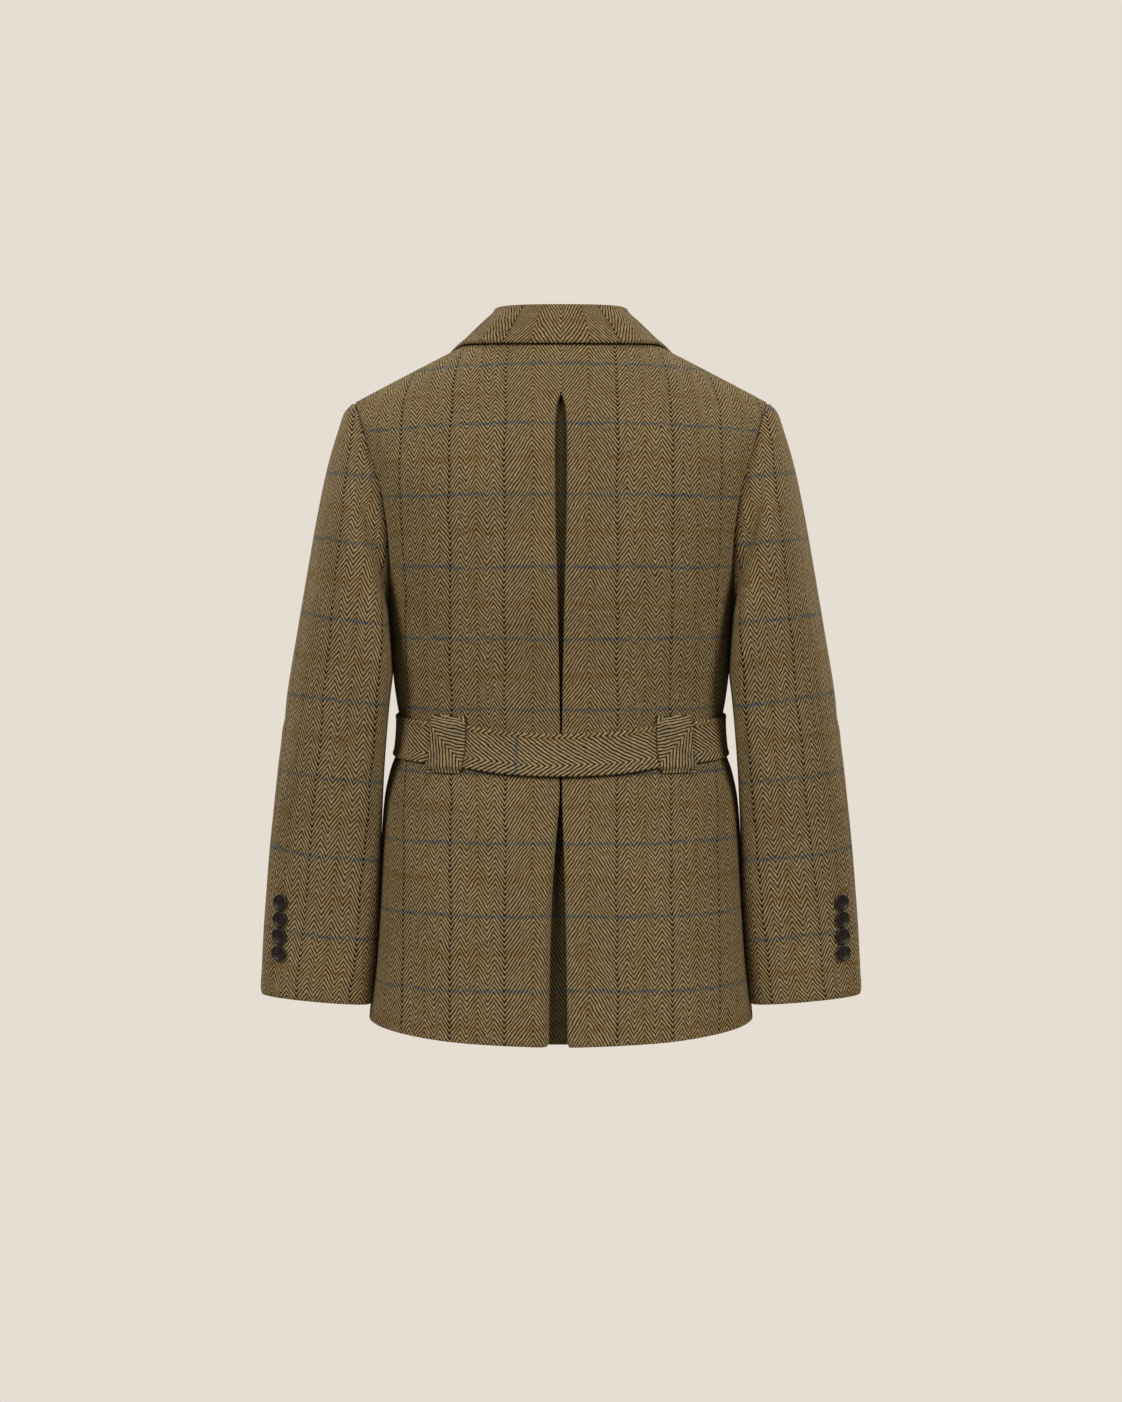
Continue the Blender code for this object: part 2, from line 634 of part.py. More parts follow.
def belt_rows():
    """Rows of the belt from its lower to its upper edge, from the under end to the over end."""
    first, last = BELT[0].turn, BELT[-1].turn
    rows = []
    for share in (-0.5, -0.17, 0.17, 0.5):
        row = []
        for i in range(BELT_STEPS + 1):
            degrees = first + (last - first) * i / BELT_STEPS
            if i == BELT_STEPS:
                degrees += BELT_TIP * (0.5 - abs(share))
            height = read(BELT, "middle", degrees) + BELT_WIDTH * share
            stand_off = read(BELT, "stand_off", degrees) + BELT_WALL
            row.append(lifted(math.radians(degrees), height, stand_off))
        rows.append(row)
    return rows


def loop_rows(hand):
    """Rows of a belt loop from its lower to its upper end."""
    rows = []
    for loop in LOOP:
        middle = math.radians(LOOP_TURN)
        step = (body_at(middle + 0.01, loop.height) - body_at(middle - 0.01, loop.height)).length
        half_turn = LOOP_WIDTH / 2.0 / step * 0.02
        row = []
        for i in range(LOOP_COLUMNS):
            turn = middle + half_turn * (2.0 * i / (LOOP_COLUMNS - 1) - 1.0)
            row.append(mirrored(lifted(turn, loop.height, loop.lift), hand))
        rows.append(row)
    return rows


def underlay_rows():
    """Rows of the strip behind the pleat and the vent."""
    levels = [level for level in panel_levels()[1:] if level < UNDERLAY_TOP]
    levels = [HEM_HEIGHT + UNDERLAY_HEM_RISE] + levels + [UNDERLAY_TOP]
    rows = []
    for level in levels:
        row = []
        for share in (-1.0, -0.4, 0.4, 1.0):
            turn = back_turn(UNDERLAY_HALF * share, level)
            row.append(lifted(turn, hem_level(level, turn), -PLEAT_DEPTH - SEAM_GAP))
        rows.append(row)
    return rows


def button(name, point, outward, scale=1.0):
    """Dished button turned about its axis, seated on a point of the cloth."""
    radius = BUTTON_RADIUS * scale
    outline = (
        (0.0, 0.0), (radius * 0.78, 0.0), (radius, BUTTON_THICK * 0.45), (radius * 0.95, BUTTON_THICK),
        (radius - BUTTON_RIM, BUTTON_THICK), (radius * 0.50, BUTTON_THICK - BUTTON_DISH),
        (0.0, BUTTON_THICK - BUTTON_DISH),
    )
    mesh = bpy.data.meshes.new(name)
    edges = [(i, i + 1) for i in range(len(outline) - 1)]
    mesh.from_pydata([(across, 0.0, up) for across, up in outline], edges, [])
    piece = place(name, mesh, HORN, 0.32)
    turned = piece.modifiers.new("Turned", "SCREW")
    turned.steps = BUTTON_STEPS
    turned.render_steps = BUTTON_STEPS
    turned.use_merge_vertices = True
    turned.merge_threshold = 0.00001
    turned.use_smooth_shade = True
    turned.use_normal_calculate = True
    piece.location = point + outward * BUTTON_CLEAR
    piece.rotation_euler = outward.to_track_quat("Z", "Y").to_euler()
    return piece


def cuff_buttons(hand, lines):
    """The four buttons in a row up the back of a sleeve."""
    side = "left" if hand > 0 else "right"
    for number, height in enumerate(CUFF_BUTTON_HEIGHTS, 1):
        line = [sleeve_at(lines, index, CUFF_BUTTON_AROUND) for index in range(len(RINGS) + 1)]
        index = next(i for i in range(len(line) - 1) if line[i + 1].z < height)
        share = (height - line[index].z) / (line[index + 1].z - line[index].z)
        point = line[index].lerp(line[index + 1], share)
        ahead = [sleeve_at(lines, i, CUFF_BUTTON_AROUND + 0.04) for i in (index, index + 1)]
        behind = [sleeve_at(lines, i, CUFF_BUTTON_AROUND - 0.04) for i in (index, index + 1)]
        across = ahead[0].lerp(ahead[1], share) - behind[0].lerp(behind[1], share)
        outward = (line[index + 1] - line[index]).cross(across).normalized()
        button(f"cuff_button_{side}_{number}", mirrored(point, hand), mirrored(outward, hand))


def clear_scene():
    """Remove every object and start the collection of the jacket."""
    for item in list(bpy.data.objects):
        bpy.data.objects.remove(item, do_unlink=True)
    group = bpy.data.collections.new("jacket")
    bpy.context.scene.collection.children.link(group)


def build():
    """Make every piece of the jacket."""
    clear_scene()
    lines = sleeve_lines()
    for hand, side in ((1, "left"), (-1, "right")):
        right = hand < 0
        rows = [back_row(hand, level) for level in panel_levels()]
        loft(f"back_{side}", rows, WALL, TWEED, flip=right)
        rows = [front_row(hand, level) for level in panel_levels()]
        loft(f"front_{side}", rows, WALL, TWEED, flip=not right)
        rows = [lapel_row(hand, lapel) for lapel in (LAPEL[2:] if right else LAPEL)]
        loft(f"lapel_{side}", rows, COLLAR_WALL, TWEED, flip=not right)
        for part in ("top", "under"):
            rows = sleeve_rows(hand, part, lines)
            loft(f"sleeve_{side}_{part}", rows, WALL, TWEED, flip=right)
        loft(f"belt_loop_{side}", loop_rows(hand), LOOP_WALL, TWEED, flip=right)
        cuff_buttons(hand, lines)
    loft("pleat_underlay", underlay_rows(), WALL, SHADED_TWEED)
    stations = [i / (COLLAR_STATIONS - 1) for i in range(COLLAR_STATIONS)]
    rows = [collar_row(station, -1) for station in stations[:0:-1]]
    rows += [collar_row(station, 1) for station in stations]
    loft("collar", rows, COLLAR_WALL, TWEED)
    loft("belt", belt_rows(), BELT_WALL, TWEED)
    for number, height in enumerate(FRONT_BUTTON_HEIGHTS, 1):
        point = front_point(1, 0.0, height, 0.0)
        button(f"front_button_{number}", point, body_normal(math.pi, height), BELT_BUTTON_SCALE)
    turn = math.radians(BELT_BUTTON_TURN)
    height = read(BELT, "middle", BELT_BUTTON_TURN)
    stand_off = read(BELT, "stand_off", BELT_BUTTON_TURN) + BELT_WALL
    outward = body_normal(turn, height)
    button("belt_button", lifted(turn, height, stand_off), outward, BELT_BUTTON_SCALE)


build()
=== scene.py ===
"""Looks of a belted tweed jacket, filled out as worn.

Every piece of cloth is a thin shell on the form of its solid, in metres, with +Z up, the front
towards -Y and the wearer's left towards +X. Its UV map is the cloth itself, flat, in metres.
"""

from __future__ import annotations

import logging
import math
from dataclasses import dataclass, field
from enum import Enum
from functools import partial
from typing import Any, Iterable, Sequence

import bpy
import numpy as np
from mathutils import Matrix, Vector


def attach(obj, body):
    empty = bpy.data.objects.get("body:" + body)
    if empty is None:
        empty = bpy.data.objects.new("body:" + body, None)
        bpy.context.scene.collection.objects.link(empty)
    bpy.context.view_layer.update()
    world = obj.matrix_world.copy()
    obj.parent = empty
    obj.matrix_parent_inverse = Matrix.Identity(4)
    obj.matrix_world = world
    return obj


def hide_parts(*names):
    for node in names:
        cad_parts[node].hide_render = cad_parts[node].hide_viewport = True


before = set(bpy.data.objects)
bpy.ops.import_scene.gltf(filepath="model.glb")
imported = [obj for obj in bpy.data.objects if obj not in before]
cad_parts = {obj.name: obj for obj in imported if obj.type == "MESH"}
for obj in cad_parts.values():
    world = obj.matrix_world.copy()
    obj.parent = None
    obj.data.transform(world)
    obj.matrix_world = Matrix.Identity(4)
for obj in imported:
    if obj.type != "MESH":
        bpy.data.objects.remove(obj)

LOG = logging.getLogger("jacket")
CLOTH_MAP = "cloth"
SEAM_GAP = 0.0003

# Places of the grid lines beside an edge, which crowd towards it
EDGE_STRIP = np.array([0.0, 0.0005, 0.0011, 0.0019, 0.0030, 0.0045, 0.0066])
ROW_SAMPLES = 420
FOLD_ROUND = 0.0007

MATH = "ShaderNodeMath"
VECTOR = "ShaderNodeVectorMath"
RANGE = "ShaderNodeMapRange"
NOISE = "ShaderNodeTexNoise"
MIX = "ShaderNodeMix"
SHADER = "ShaderNodeBsdfPrincipled"
OUTPUT = "ShaderNodeOutputMaterial"


class Hand(Enum):
    """The wearer's two sides; the value is the sign of X."""

    LEFT = 1
    RIGHT = -1

    @property
    def side(self) -> str:
        """Name of the side as the nodes spell it."""
        return self.name.lower()


class Face(Enum):
    """The two halves of the body and of a sleeve."""

    BACK = "back"
    FRONT = "front"


class SleevePart(Enum):
    """The two pieces that a sleeve is cut from."""

    TOP = "top"
    UNDER = "under"


class Edge(Enum):
    """The four edges of a piece of cloth: first and last row, first and last column."""

    FIRST_ROW = 0
    LAST_ROW = 1
    FIRST_COLUMN = 2
    LAST_COLUMN = 3


class Curve:
    """Smooth line through knots that never overshoots them."""

    def __init__(self, knots: Sequence[float], values: Any) -> None:
        """Work out the slope at each knot.

        Args:
            knots: Rising places of the knots.
            values: One value, or one array of values, for each knot.
        """
        self.knots = np.asarray(knots, float)
        self.values = np.asarray(values, float)
        steps = np.diff(self.knots).reshape((-1,) + (1,) * (self.values.ndim - 1))
        slopes = np.diff(self.values, axis=0) / steps
        self.tangents = np.empty_like(self.values)
        self.tangents[0], self.tangents[-1] = slopes[0], slopes[-1]
        before, after = slopes[:-1], slopes[1:]
        first, second = 2.0 * steps[1:] + steps[:-1], steps[1:] + 2.0 * steps[:-1]
        same = before * after > 0.0
        mean = first / np.where(same, before, 1.0) + second / np.where(same, after, 1.0)
        self.tangents[1:-1] = np.where(same, (first + second) / np.where(same, mean, 1.0), 0.0)

    def __call__(self, at: Any) -> np.ndarray:
        """Read the line.

        Args:
            at: Places to read, held to the first and last knot.

        Returns:
            The values there, with the shape of at before that of one value.
        """
        at = np.clip(np.asarray(at, float), self.knots[0], self.knots[-1])
        low = np.clip(np.searchsorted(self.knots, at, side="right") - 1, 0, len(self.knots) - 2)
        width = self.knots[low + 1] - self.knots[low]
        share = (at - self.knots[low]) / width
        shape = at.shape + (1,) * (self.values.ndim - 1)
        width, share = width.reshape(shape), share.reshape(shape)
        rest = 1.0 - share
        start = (1.0 + 2.0 * share) * rest**2 * self.values[low]
        start = start + share * rest**2 * width * self.tangents[low]
        end = share**2 * (3.0 - 2.0 * share) * self.values[low + 1]
        return start + end - share**2 * rest * width * self.tangents[low + 1]


class Table:
    """Short table with named columns; the first column is what the others are read by."""

    def __init__(self, columns: str, *rows: Sequence[float]) -> None:
        """Keep a smooth line for each column.

        Args:
            columns: Names of the columns, parted by spaces.
            rows: Values of each row, with the first column rising.
        """
        self.names = columns.split()
        self.rows = np.array(rows, float)
        self.curves = {name: Curve(self.rows[:, 0], self.rows[:, i]) for i, name in enumerate(self.names)}

    def read(self, name: str, at: Any) -> np.ndarray:
        """Value of the named column between the rows."""
        return self.curves[name](at)


def soft_step(low: float, high: float, at: Any) -> np.ndarray:
    """Soft step from 0 at low to 1 at high."""
    share = np.clip((np.asarray(at, float) - low) / (high - low), 0.0, 1.0)
    return share * share * (3.0 - 2.0 * share)


def hump(distance: Any, width: float) -> np.ndarray:
    """Bell of height 1 at distance 0 that fades over the width."""
    return np.exp(-((np.asarray(distance, float) / width) ** 2))


def unit(vectors: np.ndarray) -> np.ndarray:
    """The vectors with length 1."""
    return vectors / np.maximum(np.linalg.norm(vectors, axis=-1, keepdims=True), 1e-12)


def level_way(points: np.ndarray) -> np.ndarray:
    """Level direction from the upright axis to each point."""
    return unit(points * np.array([1.0, 1.0, 0.0]))


def turn_to(outward: np.ndarray) -> np.ndarray:
    """Matrix that turns the upright axis to the way out."""
    return np.array([list(row) for row in Vector(outward).to_track_quat("Z", "Y").to_matrix()])


def run_of(points: np.ndarray) -> np.ndarray:
    """Distance of each point from the first one along the line, or down each column of a grid."""
    steps = np.linalg.norm(np.diff(points, axis=0), axis=-1)
    return np.concatenate([np.zeros_like(steps[:1]), np.cumsum(steps, axis=0)])


def along(run: np.ndarray, values: np.ndarray, at: np.ndarray) -> np.ndarray:
    """Values at distances along a line, straight between its points.

    Args:
        run: Distance of each point of the line.
        values: One number or vector for each point.
        at: Distances to read.

    Returns:
        The values there.
    """
    if values.ndim == 1:
        return np.interp(at, run, values)
    return np.stack([np.interp(at, run, values[:, i]) for i in range(values.shape[1])], axis=-1)


def graded(start: float, end: float, step: float, fine_start: bool, fine_end: bool) -> np.ndarray:
    """Places from start to end that lie closer together at the ends that are asked for.

    Args:
        start: First place.
        end: Last place.
        step: Spacing away from the ends.
        fine_start: Whether places crowd towards start.
        fine_end: Whether places crowd towards end.

    Returns:
        Rising places.
    """
    head = start + EDGE_STRIP if fine_start else np.array([start])
    tail = end - EDGE_STRIP[::-1] if fine_end else np.array([end])
    count = max(int(round((tail[0] - head[-1]) / step)), 1)
    middle = np.linspace(head[-1], tail[0], count + 1)
    return np.concatenate([head, middle[1:-1], tail])


@dataclass(frozen=True)
class Crease:
    """Soft trough in cloth with a lower ridge beside it, drawn on the flat cloth.

    The ends are places across and up the piece; bow bends the line sideways at its middle.
    """

    across_from: float
    up_from: float
    across_to: float
    up_to: float
    width: float
    depth: float
    bow: float = 0.0
    ridge: float = 0.45
    ridge_place: float = 1.7
    ridge_width: float = 1.1
    fade_in: tuple[float, float] = (0.0, 0.35)
    fade_out: tuple[float, float] = (0.55, 1.0)

    def height(self, across: np.ndarray, up: np.ndarray) -> np.ndarray:
        """How far the crease moves the cloth out.

        Args:
            across: Places across the piece.
            up: Places up the piece.

        Returns:
            Distance outwards at each place.
        """
        reach = np.array([self.across_to - self.across_from, self.up_to - self.up_from])
        length = float(np.linalg.norm(reach))
        ahead = reach / length
        side_x, side_y = across - self.across_from, up - self.up_from
        share = (side_x * ahead[0] + side_y * ahead[1]) / length
        off = side_y * ahead[0] - side_x * ahead[1]
        inside = np.clip(share, 0.0, 1.0)
        off = off - self.bow * 4.0 * inside * (1.0 - inside)
        fade = soft_step(*self.fade_in, share) * (1.0 - soft_step(*self.fade_out, share))
        trough = -hump(off, self.width)
        rise = self.ridge * hump(off - self.ridge_place * self.width, self.ridge_width * self.width)
        return self.depth * fade * (trough + rise)


def creased(creases: Iterable[Crease], across: np.ndarray, up: np.ndarray) -> np.ndarray:
    """Sum of the creases at each place."""
    total = np.zeros_like(across)
    for crease in creases:
        total += crease.height(across, up)
    return total


def seam_ditch(to_seam: np.ndarray) -> np.ndarray:
    """Cloth drawn in at a seam, with a slight swell beside it."""
    depth, width = 0.0013, 0.0017
    swell, swell_place, swell_width = 0.0003, 0.006, 0.003
    return -depth * hump(to_seam, width) + swell * hump(to_seam - swell_place, swell_width)


def pressed(creases: Iterable[Crease], across: np.ndarray, height: np.ndarray, to_seam: np.ndarray,
            belt_height: float) -> np.ndarray:
    """Creases of a panel, which end short of its seams and are pressed nearly flat under the belt.

    Args:
        creases: The creases.
        across: Places across the panel.
        height: Heights on the panel.
        to_seam: Distances to the seams.
        belt_height: Height of the middle of the belt.

    Returns:
        Distance outwards at each place.
    """
    press, belt_half = 0.75, 0.026
    free = 1.0 - press * hump(height - belt_height, belt_half)
    return creased(creases, across, height) * soft_step(0.004, 0.02, to_seam) * free


@dataclass(frozen=True)
class BodyForm:
    """Outer face of the body of the jacket, from the hem to the shoulder line.

    A turn is 0 at the middle of the back, a quarter at the wearer's left, a half at the front.
    """

    neck_half: float = 0.0755
    shoulder_height: float = -0.0705
    shoulder_half: float = 0.2130
    underarm_height: float = -0.2746
    hem_height: float = -0.7075
    hem_dip: float = 0.0135
    hem_dip_top: float = -0.6200
    shoulder_drop: float = 0.120
    nape_round: float = 0.035
    row_step: float = 0.0042
    shoulder_step: float = 0.0030
    tip_low: float = -0.0850
    tip_high: float = -0.0500
    nudge_turn: float = 0.02
    nudge_height: float = 0.001
    hem_roll_in: float = 0.0012
    hem_roll_width: float = 0.0022
    sections: Table = field(default=Table(
        "height half_width back_depth front_depth back_power front_power",
        (-0.720, 0.2010, 0.1320, 0.1310, 2.65, 2.40),
        (-0.690, 0.1980, 0.1305, 0.1305, 2.65, 2.40),
        (-0.640, 0.1927, 0.1265, 0.1290, 2.65, 2.40),
        (-0.587, 0.1897, 0.1215, 0.1260, 2.60, 2.40),
        (-0.530, 0.1870, 0.1155, 0.1220, 2.55, 2.40),
        (-0.482, 0.1835, 0.1085, 0.1180, 2.50, 2.40),
        (-0.451, 0.1772, 0.1025, 0.1150, 2.50, 2.40),
        (-0.425, 0.1688, 0.0990, 0.1130, 2.50, 2.40),
        (-0.400, 0.1672, 0.0985, 0.1125, 2.50, 2.40),
        (-0.380, 0.1702, 0.1002, 0.1135, 2.50, 2.40),
        (-0.358, 0.1732, 0.1030, 0.1150, 2.50, 2.40),
        (-0.316, 0.1770, 0.1100, 0.1195, 2.55, 2.35),
        (-0.2746, 0.1800, 0.1165, 0.1230, 2.60, 2.35),
        (-0.220, 0.1880, 0.1210, 0.1235, 2.60, 2.30),
        (-0.170, 0.1975, 0.1215, 0.1180, 2.55, 2.30),
        (-0.120, 0.2130, 0.1160, 0.1070, 2.45, 2.25),
        (-0.0705, 0.2350, 0.1043, 0.0905, 2.30, 2.20),
        (-0.055, 0.2420, 0.1006, 0.0850, 2.25, 2.20),
        (-0.035, 0.2500, 0.0969, 0.0790, 2.20, 2.15),
        (-0.0146, 0.2570, 0.0921, 0.0730, 2.15, 2.10),
        (0.000, 0.2600, 0.0881, 0.0695, 2.10, 2.10)))
    armhole: Table = field(default=Table(
        "height back front",
        (-0.2746, 0.1800, 0.1800), (-0.270, 0.1786, 0.1782), (-0.262, 0.1768, 0.1745),
        (-0.245, 0.1758, 0.1705), (-0.220, 0.1765, 0.1685), (-0.193, 0.1790, 0.1680),
        (-0.167, 0.1832, 0.1695), (-0.140, 0.1898, 0.1755), (-0.120, 0.1970, 0.1835),
        (-0.098, 0.2035, 0.1940), (-0.078, 0.2095, 0.2072), (-0.0705, 0.2130, 0.2130)))

    @property
    def slope(self) -> float:
        """Fall of the shoulder line over its run, which is rounded towards the nape."""
        outer = math.hypot(self.shoulder_half, self.nape_round)
        return self.shoulder_height / (outer - math.hypot(self.neck_half, self.nape_round))

    def ridge_height(self, across: np.ndarray) -> np.ndarray:
        """Height of the shoulder line at a distance from the middle."""
        run = np.hypot(across, self.nape_round) - math.hypot(self.neck_half, self.nape_round)
        return run * self.slope

    def half_width(self, height: np.ndarray) -> np.ndarray:
        """Half width of the body; at the shoulders it ends on the shoulder line."""
        run = math.hypot(self.neck_half, self.nape_round) + np.asarray(height, float) / self.slope
        shoulder = np.sqrt(np.maximum(run * run - self.nape_round**2, 0.0))
        return np.minimum(self.sections.read("half_width", height), shoulder)

    def point(self, turn: Any, height: Any) -> np.ndarray:
        """Points of the outer face.

        Args:
            turn: Turns in radians.
            height: Heights, as many as the turns or one for all.

        Returns:
            Points, with x, y and z last.
        """
        turn, height = np.broadcast_arrays(np.asarray(turn, float), np.asarray(height, float))
        across = self.half_width(height) * np.sin(turn)
        back = np.cos(turn) >= 0.0
        read = self.sections.read
        depth = np.where(back, read("back_depth", height), read("front_depth", height))
        power = np.where(back, read("back_power", height), read("front_power", height))
        reach = np.abs(across) / read("half_width", height)
        depth = depth * np.maximum(1.0 - reach**power, 0.0) ** (1.0 / power)
        drop = np.clip((self.ridge_height(across) - height) / self.shoulder_drop, 0.0, 1.0)
        depth = depth * np.sqrt(1.0 - (1.0 - drop) ** 2)
        return np.stack([across, np.where(back, depth, -depth), height], axis=-1)

    def normal(self, turn: Any, height: Any) -> np.ndarray:
        """Outward directions of the outer face."""
        turn, height = np.broadcast_arrays(np.asarray(turn, float), np.asarray(height, float))
        aside, up = self.nudge_turn, self.nudge_height
        across = self.point(turn + aside, height) - self.point(turn - aside, height)
        upward = self.point(turn, height + up) - self.point(turn, height - up)
        return unit(np.cross(upward, across))

    def lifted(self, turn: Any, height: Any, lift: Any) -> np.ndarray:
        """Points of the outer face moved out by lift."""
        lift = np.asarray(lift, float)[..., None]
        return self.point(turn, height) + self.normal(turn, height) * lift

    def turn_at(self, face: Face, across: Any, height: Any) -> np.ndarray:
        """Turn of the point of the back or the front at a distance from the middle."""
        turn = np.arcsin(np.clip(np.asarray(across, float) / self.half_width(height), -1.0, 1.0))
        return turn if face is Face.BACK else math.pi - turn

    def hem_level(self, level: Any, turn: Any) -> np.ndarray:
        """Height of a row; rows near the hem dip towards the middle of back and front."""
        level = np.asarray(level, float)
        return level - self.hem_dip * np.cos(turn) ** 2 * soft_step(self.hem_dip_top, self.hem_height, level)

    def hem_roll(self, height: np.ndarray) -> np.ndarray:
        """How far the cloth bends in towards its folded hem."""
        lowest = self.hem_level(self.hem_height, 0.0)
        return -self.hem_roll_in * hump(height - lowest, self.hem_roll_width)

    def outer_turn(self, face: Face, level: float) -> float:
        """Turn at which a panel ends: side seam, armhole or shoulder seam."""
        if level <= self.underarm_height or level >= self.shoulder_height:
            return math.pi / 2.0
        return float(self.turn_at(face, self.armhole.read(face.value, level), level))

    def row_line(self, face: Face, start: float, level: float) -> tuple[np.ndarray, np.ndarray, np.ndarray]:
        """Fine row of a panel from a distance off the middle to its outer edge.

        Args:
            face: Back or front.
            start: Distance from the middle at which it starts.
            level: Level of the row.

        Returns:
            Turns, points and distances along the row.
        """
        first = float(self.turn_at(face, start, level))
        turns = np.linspace(first, self.outer_turn(face, level), ROW_SAMPLES)
        points = self.point(turns, self.hem_level(level, turns))
        return turns, points, run_of(points)

    def levels(self) -> np.ndarray:
        """Levels of the rows of a panel, closest where the pleat ends and at the edges."""
        lower = graded(self.hem_height, self.underarm_height, self.row_step, True, False)
        middle = np.linspace(self.underarm_height, self.tip_low, 46)
        tip = np.linspace(self.tip_low, self.tip_high, 29)
        upper = graded(self.tip_high, 0.0, self.shoulder_step, False, True)
        marks = np.array([self.underarm_height + d for d in (0.0006, 0.0014, 0.0024)])
        shoulder = np.array([self.shoulder_height])
        every = np.concatenate([lower, middle, tip, upper, marks, shoulder])
        return np.unique(np.round(every, 5))


@dataclass
class ClothSheet:
    """One piece of cloth: a grid of points of its outer face and the flat cloth under each point."""

    name: str
    points: np.ndarray
    chart: np.ndarray
    wall: float
    outward: np.ndarray
    rounded: dict[Edge, float] = field(default_factory=dict)

    def normals(self) -> np.ndarray:
        """Outward directions at the points of the grid."""
        rows = np.gradient(self.points, axis=0)
        columns = np.gradient(self.points, axis=1)
        directions = unit(np.cross(rows, columns))
        sign = np.sign(np.sum(directions * self.outward))
        return directions * sign

    def push(self, amount: np.ndarray) -> None:
        """Move the points out by the amount at each."""
        self.points = self.points + self.normals() * amount[..., None]

    def mirrored(self, hand: Hand) -> ClothSheet:
        """The cloth, made in the left-hand layout, on the side where it is worn."""
        side = np.array([hand.value, 1.0, 1.0])
        self.points, self.outward = self.points * side, self.outward * side
        return self

    def area(self) -> float:
        """Area of the outer face."""
        p = self.points
        first = np.cross(p[1:, :-1] - p[:-1, :-1], p[:-1, 1:] - p[:-1, :-1])
        second = np.cross(p[1:, :-1] - p[1:, 1:], p[:-1, 1:] - p[1:, 1:])
        total = np.linalg.norm(first, axis=-1).sum() + np.linalg.norm(second, axis=-1).sum()
        return 0.5 * float(total)

    def cut(self) -> tuple[float, float]:
        """Greatest width and greatest length of the cloth, laid flat."""
        width = np.linalg.norm(np.diff(self.points, axis=1), axis=-1).sum(axis=1).max()
        length = np.linalg.norm(np.diff(self.points, axis=0), axis=-1).sum(axis=0).max()
        return float(width), float(length)

    def border(self) -> tuple[np.ndarray, np.ndarray]:
        """Walk round the grid.

        Returns:
            The flat places of the border points in order, and the way out of the cloth at each.
        """
        rows, columns = self.points.shape[:2]
        grid = np.arange(rows * columns).reshape(rows, columns)
        out = np.zeros_like(self.points)
        for edge, here, behind in (
            (Edge.FIRST_ROW, np.s_[0, :], np.s_[1, :]),
            (Edge.LAST_ROW, np.s_[-1, :], np.s_[-2, :]),
            (Edge.FIRST_COLUMN, np.s_[:, 0], np.s_[:, 1]),
            (Edge.LAST_COLUMN, np.s_[:, -1], np.s_[:, -2]),
        ):
            out[here] += unit(self.points[here] - self.points[behind]) * self.rounded.get(edge, 0.0)
        walk = np.concatenate([grid[0, :-1], grid[:-1, -1], grid[-1, :0:-1], grid[:0:-1, 0]])
        return walk, out.reshape(-1, 3)[walk]

    def mesh(self) -> bpy.types.Mesh:
        """Closed shell of the cloth with rounded edges.

        Returns:
            A mesh with the flat cloth as its UV map.
        """
        rows, columns = self.points.shape[:2]
        outer = self.points.reshape(-1, 3)
        directions = self.normals()
        inner = outer - directions.reshape(-1, 3) * self.wall
        walk, out = self.border()
        rim = (outer[walk] + inner[walk]) / 2.0 + out
        count, ring = len(outer), len(walk)
        vertices = np.concatenate([outer, inner, rim])
        grid = np.arange(count).reshape(rows, columns)
        quads = np.stack([grid[:-1, :-1], grid[1:, :-1], grid[1:, 1:], grid[:-1, 1:]], axis=-1).reshape(-1, 4)
        ahead, beside = (np.gradient(self.points, axis=axis) for axis in (0, 1))
        turned = np.sum(np.cross(ahead, beside) * directions)
        after = np.roll(walk, -1)
        edge = np.arange(ring) + 2 * count
        edge_after = np.roll(edge, -1)
        upper = np.stack([walk, after, edge_after, edge], axis=-1)
        lower = np.stack([edge, edge_after, after + count, walk + count], axis=-1)
        faces = np.concatenate([quads, quads[:, ::-1] + count, upper, lower])
        if turned < 0.0:
            faces = faces[:, ::-1]
        made = bpy.data.meshes.new(self.name)
        made.from_pydata(vertices.tolist(), [], faces.tolist())
        made.polygons.foreach_set("use_smooth", np.ones(len(faces), bool))
        flat = self.chart.reshape(-1, 2)
        every = np.concatenate([flat, flat, flat[walk]])
        corners = np.empty(len(made.loops), np.int32)
        made.loops.foreach_get("vertex_index", corners)
        layer = made.uv_layers.new(name=CLOTH_MAP)
        layer.data.foreach_set("uv", every[corners].astype(np.float32).ravel())
        made.update()
        return made


def linear(hex_colour: str) -> tuple[float, float, float, float]:
    """Linear colour of an sRGB hex value."""
    parts = [int(hex_colour[i:i + 2], 16) / 255.0 for i in (1, 3, 5)]
    shades = [c / 12.92 if c <= 0.04045 else ((c + 0.055) / 1.055) ** 2.4 for c in parts]
    return shades[0], shades[1], shades[2], 1.0


def add(tree: bpy.types.NodeTree, kind: str, inputs: dict[Any, Any] | None = None, out: Any = 0,
        **settings: Any) -> Any:
    """Add one node to a tree.

    Args:
        tree: The node tree.
        kind: Type name of the node.
        inputs: Values or sockets for the node's inputs, by name or place.
        out: Name or place of the output that is wanted.
        settings: Properties of the node.

    Returns:
        The wanted output socket, or the node itself where it has none.
    """
    node = tree.nodes.new(kind)
    for name, value in settings.items():
        setattr(node, name, value)
    for key, value in (inputs or {}).items():
        if isinstance(value, bpy.types.NodeSocket):
            tree.links.new(value, node.inputs[key])
        else:
            node.inputs[key].default_value = value
    return node.outputs[out] if len(node.outputs) else node


def new_material(name: str) -> tuple[bpy.types.Material, bpy.types.NodeTree]:
    """Empty node material of that name, and its tree."""
    material = bpy.data.materials.new(name)
    material.use_nodes = True
    material.node_tree.nodes.clear()
    return material, material.node_tree


